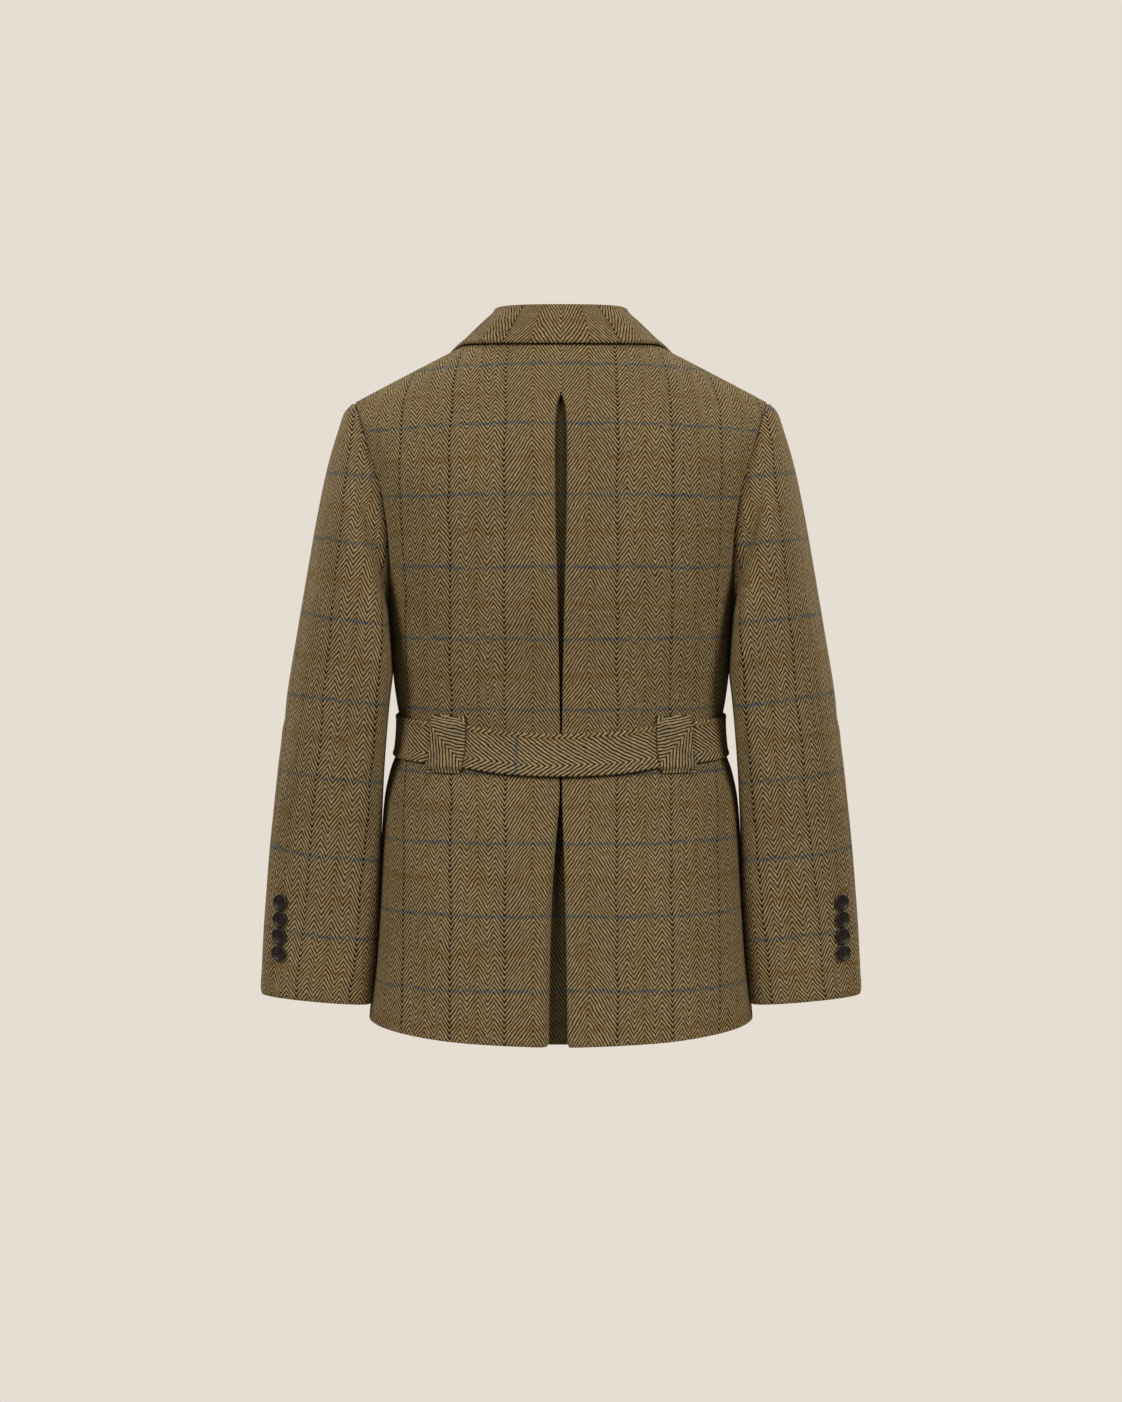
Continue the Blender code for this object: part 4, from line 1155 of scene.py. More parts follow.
@dataclass(frozen=True)
class CollarBand:
    """The turned-down collar, from the neck seam over the fold to its free edge."""

    form: BodyForm
    wall: float = 0.0026
    fold_round: float = 0.0032
    back_bulge: float = 0.0016
    side_bulge: float = 0.0002
    fold_top: float = 0.0018
    fold_drop: float = 0.0006
    check_start: float = 0.0120
    front_stations: tuple[float, float] = (0.52, 0.66)
    side_stations: tuple[float, float] = (0.22, 0.45)
    seam_in: float = 0.0016
    seam_front_in: float = 0.0032
    seam_front_aside: float = -0.0014
    seam_up: float = 0.0009
    count: int = 92
    stations: Table = field(default=Table(
        "station seam_turn seam_height fold_across fold_depth fold_height edge_turn edge_height lie",
        (0.00, 0, 0.0, 0.0000, 0.0560, 0.0282, 0, -0.0149, 0.0046),
        (0.14, 22, 0.0, 0.0258, 0.0515, 0.0283, 22, -0.0148, 0.0046),
        (0.28, 45, 0.0, 0.0475, 0.0390, 0.0283, 45, -0.0143, 0.0046),
        (0.42, 67, 0.0, 0.0620, 0.0205, 0.0274, 68, -0.0136, 0.0042),
        (0.55, 90, 0.0, 0.0664, 0.0000, 0.0262, 90, -0.0142, 0.0034),
        (0.68, 125, -0.003, 0.0636, -0.0230, 0.0175, 108, -0.0228, 0.0034),
        (0.80, 140, -0.013, 0.0612, -0.0480, -0.0005, 119, -0.0325, 0.0036),
        (0.91, 150, -0.024, 0.0590, -0.0670, -0.0210, 129, -0.0420, 0.0036),
        (1.00, 156, -0.0345, 0.0566, -0.0775, -0.0380, 137, -0.0500, 0.0036)))

    def section(self, station: float) -> np.ndarray:
        """Section of the collar on the wearer's left.

        Args:
            station: 0 at the middle of the back, 1 at the gorge.

        Returns:
            Points from the neck seam over the fold to the free edge.
        """
        value = {name: float(self.stations.read(name, station)) for name in self.stations.names[1:]}
        seam_turn, edge_turn = math.radians(value["seam_turn"]), math.radians(value["edge_turn"])
        outward = np.array([math.sin(seam_turn), math.cos(seam_turn), 0.0])
        up = np.array([0.0, 0.0, 1.0])
        front = float(soft_step(*self.front_stations, station))
        inside = outward * (self.seam_in + self.seam_front_in * front)
        seam = self.form.point(seam_turn, value["seam_height"]) - inside
        seam = seam + np.array([self.seam_front_aside * front, 0.0, self.seam_up])
        fold = np.array([value["fold_across"], value["fold_depth"], value["fold_height"]])
        edge = self.form.lifted(edge_turn, value["edge_height"], value["lie"])
        inner = fold - (outward + up) * self.fold_round
        outer = fold + (outward - up) * self.fold_round
        top = fold - up * self.fold_drop
        knots = [seam, seam + (inner - seam) * 0.55, inner, top - outward * self.fold_top,
                 top + outward * self.fold_top, outer]
        away = self.form.normal(edge_turn, value["edge_height"])
        side = float(soft_step(*self.side_stations, station))
        bulge = self.back_bulge + (self.side_bulge - self.back_bulge) * side
        for share in (0.33, 0.66, 1.0):
            knots.append(outer + (edge - outer) * share + away * bulge * 4.0 * share * (1.0 - share))
        line = np.array(knots)
        run = run_of(line)
        fall = graded(run[5], run[-1], 0.0016, False, True)
        places = np.concatenate([np.linspace(0.0, run[5], 26), fall[1:]])
        return Curve(run, line)(places)

    def sheet(self) -> ClothSheet:
        """Cloth of the whole collar, from the right gorge round the back to the left one."""
        sections = [self.section(float(station)) for station in np.linspace(0.0, 1.0, self.count)]
        columns = min(len(section) for section in sections)
        even = []
        for section in sections:
            run = run_of(section)
            even.append(along(run, section, np.linspace(0.0, run[-1], columns)))
        left = np.stack(even)
        right = left[:0:-1] * np.array([-1.0, 1.0, 1.0])
        points = np.concatenate([right, left])
        middle = points[:, columns * 2 // 3]
        run = run_of(middle)
        across = run - run[len(right)]
        up = np.stack([run_of(row) for row in points])
        up = up[:, -1:] - up
        chart = np.stack([np.broadcast_to(across[:, None], up.shape), up + self.check_start], axis=-1)
        outward = np.zeros_like(points)
        outward[:, columns // 2:, 1] = 1.0
        outward[len(right):, columns // 2:, 0] = 0.4
        rounded = {edge: 0.0010 for edge in Edge}
        sheet = ClothSheet("collar_cloth", points, chart, self.wall, outward, rounded)
        sheet.push(0.0007 * hump(up - 0.0035, 0.0028) - 0.0006 * hump(up, 0.0012))
        return sheet

    def build(self, material: bpy.types.Material) -> None:
        """Place the collar."""
        show_cloth(self.sheet(), "collar", material)


@dataclass(frozen=True)
class Sleeves:
    """The two sleeves, each a top and an under piece set into the armhole."""

    form: BodyForm
    wall: float = 0.0022
    strip: float = 0.0020
    seam_sink: float = 0.0013
    ring_power: float = 2.15
    hind_power: float = 4.4
    hind_level: float = -0.2574
    fore_level: float = -0.2190
    hind_cuff: float = 0.97
    fore_cuff: float = -0.66
    samples: int = 361
    top_columns: int = 84
    under_columns: int = 46
    square_rings: tuple[float, float] = (6.0, 9.0)
    slant_rings: tuple[float, float] = (1.0, 5.0)
    level_span: tuple[float, float] = (0.30, 0.62)
    crown: tuple[float, float] = (0.04, 0.22)
    head_step: float = 0.0015
    row_step: float = 0.0036
    head_swell: float = 0.0016
    head_sink: float = 0.0010
    head_place: float = 0.008
    head_width: float = 0.0055
    ditch: float = 0.0010
    ditch_width: float = 0.0016
    cuff_in: float = 0.0011
    cuff_in_width: float = 0.0022
    cuff_swell: float = 0.0004
    cuff_place: float = 0.012
    cuff_width: float = 0.008
    button_across: float = -0.058
    button_down: float = 0.545
    lean: float = 5.8
    grain_across: float = -0.0025
    cap_spread: float = 0.022
    crest_reach: int = 20
    grain_start: float = 8 * Tweed.half_repeat
    rings: Table = field(default=Table(
        "number outer_x outer_z inner_x inner_z outer_y inner_y back_half front_half",
        (1, 0.2228, -0.0790, 0.1776, -0.2790, 0.000, 0.006, 0.0635, 0.0705),
        (2, 0.2305, -0.1000, 0.1764, -0.2860, 0.000, 0.012, 0.0680, 0.0735),
        (3, 0.2412, -0.1360, 0.1754, -0.2990, 0.000, 0.018, 0.0705, 0.0740),
        (4, 0.2516, -0.1840, 0.1744, -0.3190, 0.000, 0.024, 0.0700, 0.0720),
        (5, 0.2628, -0.2450, 0.1732, -0.3450, -0.001, 0.027, 0.0675, 0.0685),
        (6, 0.2738, -0.3079, 0.1764, -0.3760, -0.001, 0.027, 0.0625, 0.0620),
        (7, 0.2836, -0.3657, 0.1794, -0.4080, 0.000, 0.027, 0.0575, 0.0575),
        (8, 0.2923, -0.4322, 0.1828, -0.4540, 0.003, 0.027, 0.0510, 0.0525),
        (9, 0.2994, -0.4983, 0.1852, -0.5120, 0.007, 0.030, 0.0440, 0.0470),
        (10, 0.3052, -0.5630, 0.1874, -0.5760, 0.012, 0.033, 0.0370, 0.0420),
        (11, 0.3095, -0.6226, 0.1905, -0.6340, 0.016, 0.034, 0.0310, 0.0380),
        (12, 0.3121, -0.6823, 0.1952, -0.6908, 0.020, 0.035, 0.0270, 0.0340)))
    check: CheckRun = CheckRun(Table(
        "down count",
        (0.075, 0), (0.143, 1), (0.221, 2), (0.304, 3), (0.385, 4), (0.466, 5), (0.548, 6), (0.622, 7)))
    creases: tuple[Crease, ...] = (
        Crease(0.060, 0.330, 0.012, 0.368, 0.0080, 0.0016, 0.006),
        Crease(0.066, 0.372, 0.020, 0.398, 0.0070, 0.0012, -0.004),
        Crease(0.062, 0.290, 0.026, 0.322, 0.0090, 0.0011, 0.005),
        Crease(-0.030, 0.420, -0.036, 0.520, 0.0120, 0.0009, 0.005),
        Crease(0.030, 0.460, 0.020, 0.590, 0.0130, 0.0008, -0.006),
        Crease(0.050, 0.160, 0.012, 0.240, 0.0120, 0.0012, 0.006),
        Crease(-0.100, 0.300, -0.060, 0.345, 0.0090, 0.0014, 0.005),
        Crease(-0.120, 0.345, -0.070, 0.372, 0.0080, 0.0016, -0.004),
        Crease(-0.118, 0.390, -0.080, 0.404, 0.0080, 0.0012, 0.003),
        Crease(0.115, 0.345, 0.150, 0.375, 0.0080, 0.0012, 0.004),
        Crease(0.120, 0.385, 0.160, 0.400, 0.0080, 0.0011, -0.003),
    )

    def half_ring(self, row: np.ndarray, face: Face) -> np.ndarray:
        """Half of a ring from its outer line to its inner line, evenly spaced.

        Args:
            row: Row of the table of rings.
            face: Which half.

        Returns:
            Points of the half.
        """
        value = dict(zip(self.rings.names, row))
        outer = np.array([value["outer_x"], value["outer_y"], value["outer_z"]])
        inner = np.array([value["inner_x"], value["inner_y"], value["inner_z"]])
        depth = value["back_half"] if face is Face.BACK else -value["front_half"]
        angle = np.linspace(0.0, math.pi, 721)
        squarer = (self.hind_power - self.ring_power) * (1.0 - soft_step(*self.square_rings, value["number"]))
        fuller = squarer if face is Face.BACK else 0.0
        power = self.ring_power + fuller * np.where(angle > math.pi / 2.0, 1.0, 0.0)
        cosine = np.sign(np.cos(angle)) * np.abs(np.cos(angle)) ** (2.0 / power)
        sine = np.maximum(np.sin(angle), 0.0) ** (2.0 / power)
        points = (outer + inner) / 2.0 + (outer - inner) / 2.0 * cosine[:, None]
        points[:, 1] += depth * sine
        return self.even(points)

    def even(self, points: np.ndarray) -> np.ndarray:
        """The line with evenly spaced points."""
        run = run_of(points)
        return along(run, points, np.linspace(0.0, run[-1], self.samples))

    def half_armhole(self, face: Face) -> np.ndarray:
        """Armhole seam from the shoulder point to the underarm, evenly spaced."""
        low, high = self.form.underarm_height, self.form.shoulder_height
        share = np.linspace(0.0, 1.0, 260)
        levels = high + (low - high) * (0.5 - 0.5 * np.cos(math.pi * share))
        points = np.array([self.form.point(self.form.outer_turn(face, v), v) for v in levels])
        return self.even(points)

    def armhole_place(self, face: Face, level: float) -> float:
        """Share of the way down a half of the armhole at which a level lies."""
        line = self.half_armhole(face)
        return float(np.interp(-level, -line[:, 2], np.linspace(0.0, 1.0, self.samples)))

    def joined(self, back: np.ndarray, front: np.ndarray) -> np.ndarray:
        """Closed ring from the inner line by the front, the outer line and the back, and once more round."""
        ring = np.concatenate([front[::-1], back[1:]])
        return np.concatenate([ring[:-1], ring])

    def stations(self) -> tuple[np.ndarray, np.ndarray, np.ndarray]:
        """Rings of the sleeve from the armhole to the cuff.

        Returns:
            Places round a ring, mean distances of the rings along the sleeve, and the rings.
        """
        halves = {face: self.half_armhole(face) for face in Face}
        start = self.joined(halves[Face.BACK], halves[Face.FRONT])
        rings = [self.joined(self.half_ring(row, Face.BACK), self.half_ring(row, Face.FRONT))
                 for row in self.rings.rows]
        around = np.linspace(-1.0, 3.0, len(start))
        place = np.abs(np.where(around > 1.0, around - 2.0, around))
        onward = unit(rings[0] - start)
        period = 2 * (self.samples - 1)
        lap = np.concatenate([start[-period - 4:-period - 1], start, start[period + 1:period + 4]])
        ahead = lap[6:] - lap[:-6]
        back_half = ((around + 1.0) % 2.0) >= 1.0
        turn = np.where(back_half, self.form.turn_at(Face.BACK, start[:, 0], start[:, 2]),
                        self.form.turn_at(Face.FRONT, start[:, 0], start[:, 2]))
        outward = self.form.normal(turn, start[:, 2])
        flat = unit(np.cross(ahead, outward))
        flat = flat * np.where(np.sum(flat * onward, axis=-1) < 0.0, -1.0, 1.0)[:, None]
        share = (1.0 - soft_step(*self.level_span, place))[:, None]
        leave = unit(flat * share + onward * (1.0 - share))
        gap = (SEAM_GAP * (0.4 + 0.5 * (1.0 - soft_step(*self.crown, place))))[:, None]
        sunk = start - outward * self.seam_sink
        every = np.stack([sunk + leave * gap, start + leave * (gap + self.strip), *rings])
        steps = np.linalg.norm(np.diff(every, axis=0), axis=-1).mean(axis=1)
        return around, np.concatenate([[0.0], np.cumsum(steps)]), every

    def flat_places(self, part: SleevePart, points: np.ndarray) -> tuple[np.ndarray, np.ndarray]:
        """Places of a piece's points on its flat cloth, measured along level lines of the hanging sleeve.

        Args:
            part: Which piece.
            points: Its points, row by row from the armhole to the cuff.

        Returns:
            Distances down from the shoulder, and distances across from the grain line at the back.
        """
        lean = math.radians(self.lean)
        sideways = np.array([math.cos(lean), 0.0, math.sin(lean)])
        corner = np.array([self.form.shoulder_half, 0.0, self.form.shoulder_height])
        down = (points - corner) @ np.array([math.sin(lean), 0.0, -math.cos(lean)])
        order = np.maximum.accumulate(down, axis=0) + np.arange(len(down))[:, None] * 1e-9
        levels = np.linspace(order.min(), order.max(), 300)
        lines = np.stack([along(order[:, j], points[:, j], levels) for j in range(points.shape[1])])
        run = run_of(lines)
        if part is SleevePart.TOP:
            facing = (lines - corner) @ sideways
            outmost = facing.argmax(axis=0)
            grain = np.array([np.interp(-self.grain_across, -facing[first:, k], run[first:, k])
                              for k, first in enumerate(outmost)])
            reach = self.crest_reach
            column = run[int(np.median(outmost))]
            beside = np.pad(run[outmost, np.arange(len(levels))] - column, reach, mode="edge")
            crest = column + np.convolve(beside, np.full(2 * reach + 1, 1.0 / (2 * reach + 1)), mode="valid")
            lag = grain - crest
            run += soft_step(0.0, self.cap_spread, crest - run) * (lag - np.median(lag)) - grain
        else:
            top_down, top_across = self.flat_places(SleevePart.TOP, self.laid_out(SleevePart.TOP)[1])
            run += np.interp(levels, np.maximum.accumulate(top_down[:, -1]), top_across[:, -1])
        across = np.stack([np.interp(order[:, j], levels, run[j]) for j in range(points.shape[1])], axis=1)
        return down, across

    def laid_out(self, part: SleevePart) -> tuple[np.ndarray, np.ndarray, np.ndarray]:
        """Smooth form of a piece in the left-hand layout.

        Args:
            part: Which piece.

        Returns:
            Middles of its rows, its points from the armhole to the cuff, and their distances to its seams.
        """
        around, distance, every = self.stations()
        lines = Curve(distance, every)
        hind = self.armhole_place(Face.BACK, self.hind_level)
        fore = -self.armhole_place(Face.FRONT, self.fore_level)
        ends, count = ((fore, self.fore_cuff), (hind, self.hind_cuff)), self.top_columns
        if part is SleevePart.UNDER:
            ends, count = ((hind, self.hind_cuff), (2.0 + fore, 2.0 + self.fore_cuff)), self.under_columns
        number = len(self.rings.rows)
        shares = np.concatenate([[0.0], np.arange(number + 1) / number])
        rows = np.concatenate([graded(0.0, distance[2], self.head_step, False, False),
                               graded(distance[2], distance[-1], self.row_step, False, True)[1:]])
        points, to_seam = [], []
        for place in rows:
            ring = lines(place)
            run = run_of(ring)
            share = float(np.interp(place, distance, shares))
            first = ends[0][0] + (ends[0][1] - ends[0][0]) * share
            last = ends[1][0] + (ends[1][1] - ends[1][0]) * share
            slant = 1.0 - float(soft_step(*self.slant_rings, share * number))
            gap = SEAM_GAP / 2.0 * (1.2 - 0.6 * slant)
            low, high = (float(np.interp(a, around, run)) for a in (first, last))
            inner = np.linspace(low + gap + EDGE_STRIP[-1], high - gap - EDGE_STRIP[-1], count)
            places = np.concatenate([low + gap + EDGE_STRIP, inner[1:-1], high - gap - EDGE_STRIP[::-1]])
            points.append(along(run, ring, places))
            to_seam.append(np.minimum(places - low - gap, high - gap - places))
        middles = Curve(distance, every.mean(axis=1))(rows)
        return middles, np.stack(points), np.stack(to_seam)

    def piece(self, part: SleevePart, hand: Hand) -> ClothSheet:
        """Cloth of the top or the under sleeve.

        Args:
            part: Which piece.
            hand: Which sleeve.

        Returns:
            The cloth.
        """
        middles, points, to_seam = self.laid_out(part)
        down, across = self.flat_places(part, points)
        chart = np.stack([-across * hand.value + self.grain_start, -self.check.cloth(down)], axis=-1)
        outward = unit(points - middles[:, None, :])
        rounded = {Edge.LAST_ROW: FOLD_ROUND}
        name = f"sleeve_{hand.side}_{part.value}_cloth"
        sheet = ClothSheet(name, points, chart, self.wall, outward, rounded)
        to_head = run_of(points)
        to_cuff = to_head[-1:] - to_head
        below = soft_step(0.004, 0.030, self.form.shoulder_height - points[:1, :, 2])
        swell = self.head_swell * below - self.head_sink * (1.0 - below)
        head = swell * hump(to_head - self.head_place, self.head_width)
        ditch = -self.ditch * hump(to_seam, self.ditch_width)
        cuff = self.cuff_swell * hump(to_cuff - self.cuff_place, self.cuff_width)
        cuff = cuff - self.cuff_in * hump(to_cuff, self.cuff_in_width)
        folds = creased(self.creases, across, down) * soft_step(0.010, 0.040, to_head)
        folds = folds * soft_step(0.0, 0.02, to_seam)
        at_buttons = hump(across - self.button_across, 0.016) * hump(down - self.button_down, 0.05)
        sheet.push(head + ditch + cuff + folds * (1.0 - at_buttons))
        return sheet.mirrored(hand)

    def build(self, material: bpy.types.Material) -> None:
        """Place the four pieces of the sleeves."""
        for hand in Hand:
            for part in SleevePart:
                sheet = self.piece(part, hand)
                show_cloth(sheet, f"sleeve_{hand.side}_{part.value}", material)


@dataclass(frozen=True)
class BeltSet:
    """The belt with its sag at the middle of the back, and its two loops."""

    form: BodyForm
    wall: float = 0.0030
    width: float = 0.0420
    tip: float = 6.0
    tip_share: float = 0.90
    edge_round: float = 0.0011
    edge_in: float = 0.0005
    step: float = 0.0016
    stitch_in: float = 0.0048
    stitch_depth: float = 0.00045
    stitch_width: float = 0.0007
    loop_turn: float = 42.9
    loop_width: float = 0.0370
    loop_wall: float = 0.0020
    loop_round: float = 0.0008
    loop_stitch_in: float = 0.0042
    loop_row_step: float = 0.0012
    loop_grain: float = 0.0507
    grain_across: float = 0.0107
    grain_along: float = -0.045
    line: Table = field(default=Table(
        "turn middle stand_off",
        (-192, -0.4120, 0.0012), (-90, -0.4138, 0.0012), (-60, -0.4166, 0.0030), (-55, -0.4172, 0.0036),
        (-51, -0.4177, 0.0010), (-43, -0.4187, 0.0006), (-35, -0.4208, 0.0010), (-31, -0.4221, 0.0040),
        (-26, -0.4240, 0.0038), (-18, -0.4265, 0.0034), (0, -0.4285, 0.0034), (18, -0.4265, 0.0034),
        (26, -0.4240, 0.0038), (31, -0.4221, 0.0040), (35, -0.4208, 0.0010), (43, -0.4187, 0.0006),
        (51, -0.4177, 0.0010), (55, -0.4172, 0.0036), (60, -0.4166, 0.0030), (90, -0.4138, 0.0012),
        (150, -0.4120, 0.0012), (166, -0.4120, 0.0050), (198, -0.4120, 0.0050)))
    loop: Table = field(default=Table(
        "height lift",
        (-0.4475, 0.0026), (-0.4455, 0.0030), (-0.4425, 0.0066), (-0.4370, 0.0072), (-0.4187, 0.0074),
        (-0.4005, 0.0072), (-0.3950, 0.0066), (-0.3920, 0.0030), (-0.3895, 0.0026)))

    def point(self, degrees: np.ndarray, share: np.ndarray, extra: float = 0.0) -> np.ndarray:
        """Points of the belt's outer face.

        Args:
            degrees: Turns in degrees.
            share: Places across its width, from -0.5 to 0.5.
            extra: Distance further out.

        Returns:
            Points.
        """
        height = self.line.read("middle", degrees) + self.width * share
        stand_off = self.line.read("stand_off", degrees) + self.wall + extra
        return self.form.lifted(np.radians(degrees), height, stand_off)

    def belt(self) -> ClothSheet:
        """Cloth of the belt from its under end to its pointed over end."""
        first, last = self.line.rows[0, 0], self.line.rows[-1, 0]
        degrees = np.linspace(first, last, ROW_SAMPLES)
        share = graded(-0.5 * self.width, 0.5 * self.width, self.step, True, True) / self.width
        degree_grid, share_grid = np.meshgrid(degrees, share, indexing="ij")
        point_share = soft_step(self.tip_share, 1.0, (degree_grid - first) / (last - first))
        degree_grid = degree_grid + point_share * self.tip * (0.5 - np.abs(share_grid))
        points = self.point(degree_grid, share_grid)
        run = run_of(points[:, len(share) // 2])
        middle = float(np.interp(0.0, degrees, run))
        ahead = np.broadcast_to((run - middle + self.grain_along)[:, None], share_grid.shape)
        chart = np.stack([share_grid * self.width + self.grain_across, ahead], axis=-1)
        outward = level_way(points)
        rounded = {edge: self.edge_round for edge in Edge}
        sheet = ClothSheet("belt_cloth", points, chart, self.wall, outward, rounded)
        to_edge = (0.5 - np.abs(share_grid)) * self.width
        drawn_in = self.stitch_depth * hump(to_edge - self.stitch_in, self.stitch_width)
        sheet.push(-drawn_in - self.edge_in * hump(to_edge, self.edge_round))
        return sheet

    def loop_sheet(self, hand: Hand) -> ClothSheet:
        """Cloth of a belt loop from its lower to its upper end.

        Args:
            hand: Which loop.

        Returns:
            The cloth.
        """
        heights = graded(self.loop.rows[0, 0], self.loop.rows[-1, 0], self.loop_row_step, True, True)
        places = graded(-0.5 * self.loop_width, 0.5 * self.loop_width, self.step, True, True)
        middle = math.radians(self.loop_turn)
        nudge = 0.01
        step = self.form.point(middle + nudge, heights) - self.form.point(middle - nudge, heights)
        turns = middle + places[None, :] / (np.linalg.norm(step, axis=-1) / (2.0 * nudge))[:, None]
        height_grid = np.broadcast_to(heights[:, None], turns.shape)
        lift = self.loop.read("lift", height_grid)
        points = self.form.lifted(turns, height_grid, lift)
        run = run_of(points[:, len(places) // 2])
        inward = -np.broadcast_to(places[None, :], turns.shape)
        rise = np.broadcast_to((run - run[-1] / 2.0)[:, None], turns.shape)
        chart = np.stack([inward + rise, inward - rise + self.loop_grain], axis=-1) * math.sqrt(0.5)
        outward = level_way(points)
        rounded = {edge: self.loop_round for edge in Edge}
        sheet = ClothSheet(f"belt_loop_{hand.side}_cloth", points, chart, self.loop_wall, outward, rounded)
        to_side = 0.5 * self.loop_width - np.abs(np.broadcast_to(places[None, :], turns.shape))
        sheet.push(-0.0003 * hump(to_side - self.loop_stitch_in, 0.0006) - 0.0004 * hump(to_side, 0.0010))
        return sheet.mirrored(hand)

    def build(self, material: bpy.types.Material, loop_material: bpy.types.Material) -> None:
        """Place the belt and its loops."""
        show_cloth(self.belt(), "belt", material)
        for hand in Hand:
            node = f"belt_loop_{hand.side}"
            show_cloth(self.loop_sheet(hand), node, loop_material)


@dataclass(frozen=True)
class Buttons:
    """Dished horn buttons with a raised rim and four holes; Stitches sews the thread that holds them."""

    form: BodyForm
    sleeves: Sleeves
    belt: BeltSet
    radius: float = 0.0086
    thick: float = 0.0034
    rim: float = 0.0022
    dish: float = 0.0012
    clear: float = 0.0004
    hole_out: float = 0.001224
    hole_radius: float = 0.00075
    hole_deep: float = 0.0011
    around: int = 56
    nudge: float = 0.04
    cuff_heights: tuple[float, ...] = (-0.5846, -0.6022, -0.6198, -0.6374)
    cuff_around: float = 0.236
    front_heights: tuple[float, ...] = (-0.3000, -0.5250)
    belt_turn: float = 181.0
    large: float = 1.2

    def outline(self, scale: float) -> np.ndarray:
        """Half outline of a button from the middle of its back over the rim to the middle of its face."""
        radius, rim, thick = self.radius * scale, self.rim, self.thick
        bowl = thick - self.dish
        knots = np.array([
            [0.0, 0.0], [radius * 0.62, 0.0], [radius * 0.86, thick * 0.10], [radius * 0.985, thick * 0.38],
            [radius, thick * 0.62], [radius * 0.965, thick * 0.90], [radius - rim * 0.42, thick],
            [radius - rim * 0.85, thick * 0.94], [radius - rim * 1.25, bowl + self.dish * 0.35],
            [radius - rim * 1.7, bowl + self.dish * 0.05], [radius * 0.30, bowl], [0.0, bowl]])
        run = run_of(knots)
        return Curve(run, knots)(np.linspace(0.0, run[-1], 44))

    def mesh(self, name: str, place: np.ndarray, outward: np.ndarray, scale: float) -> bpy.types.Mesh:
        """Turned button with four holes, seated on a point of the cloth.

        Args:
            name: Name of the mesh.
            place: Point of the cloth.
            outward: Way out of the cloth there.
            scale: Size over that of a cuff button.

        Returns:
            The mesh.
        """
        line = self.outline(scale)[1:-1]
        steps = self.around
        angle = np.linspace(0.0, 2.0 * math.pi, steps, endpoint=False)
        across = line[:, None, 0] * np.cos(angle)[None, :]
        along_y = line[:, None, 0] * np.sin(angle)[None, :]
        up = np.broadcast_to(line[:, None, 1], across.shape).copy()
        out = self.hole_out * scale
        rim = self.hole_radius * scale
        for side_x, side_y in ((-out, -out), (-out, out), (out, -out), (out, out)):
            pit = 1.0 - soft_step(0.55 * rim, 1.15 * rim, np.hypot(across - side_x, along_y - side_y))
            up -= np.where(up > self.thick * 0.4, self.hole_deep * pit, 0.0)
        turn = turn_to(outward)
        rings = np.stack([across, along_y, up], axis=-1).reshape(-1, 3)
        ends = np.array([[0.0, 0.0, 0.0], [0.0, 0.0, self.thick - self.dish]])
        points = np.concatenate([rings, ends]) @ turn.T + place + outward * self.clear
        count = len(line)
        grid = np.arange(count * steps).reshape(count, steps)
        beside = np.roll(grid, -1, axis=1)
        faces = np.stack([grid[:-1], beside[:-1], beside[1:], grid[1:]], axis=-1).reshape(-1, 4).tolist()
        first, last = count * steps, count * steps + 1
        faces += [[first, int(b), int(a)] for a, b in zip(grid[0], beside[0])]
        faces += [[last, int(a), int(b)] for a, b in zip(grid[-1], beside[-1])]
        mesh = bpy.data.meshes.new(name)
        mesh.from_pydata(points.tolist(), [], faces)
        mesh.polygons.foreach_set("use_smooth", np.ones(len(faces), bool))
        mesh.update()
        return mesh

    def cuff_seats(self, hand: Hand) -> list[tuple[np.ndarray, np.ndarray]]:
        """Points and outward ways of the buttons in a row up the back of a cuff."""
        around, _, every = self.sleeves.stations()
        places = self.cuff_around + np.array([0.0, self.nudge, -self.nudge])
        line, before, behind = np.stack([along(around, ring, places) for ring in every], axis=1)
        flip = np.array([hand.value, 1.0, 1.0])
        seats = []
        for height in self.cuff_heights:
            index = int(np.argmax(line[1:, 2] < height))
            share = (height - line[index, 2]) / (line[index + 1, 2] - line[index, 2])
            point, first, last = (s[index] + (s[index + 1] - s[index]) * share
                                  for s in (line, before, behind))
            outward = unit(np.cross(line[index + 1] - line[index], first - last))
            seats.append((point * flip, outward * flip))
        return seats

    def seats(self) -> dict[str, tuple[np.ndarray, np.ndarray, float]]:
        """Point, outward way and size of every button, by the name of its node."""
        made: dict[str, tuple[np.ndarray, np.ndarray, float]] = {}
        for hand in Hand:
            for number, (point, outward) in enumerate(self.cuff_seats(hand), 1):
                made[f"cuff_button_{hand.side}_{number}"] = (point, outward, 1.0)
        for number, height in enumerate(self.front_heights, 1):
            turn = float(self.form.turn_at(Face.FRONT, 0.0, height))
            point, outward = self.form.point(turn, height), self.form.normal(math.pi, height)
            made[f"front_button_{number}"] = (point, outward, self.large)
        turn = math.radians(self.belt_turn)
        height = float(self.belt.line.read("middle", self.belt_turn))
        point = self.belt.point(np.array(self.belt_turn), np.array(0.0))
        made["belt_button"] = (point, self.form.normal(turn, height), self.large)
        return made

    def build(self, horn: bpy.types.Material) -> None:
        """Place every button."""
        for node, (point, outward, scale) in self.seats().items():
            show(f"{node}_turned", self.mesh(node, point, outward, scale), horn, [node])


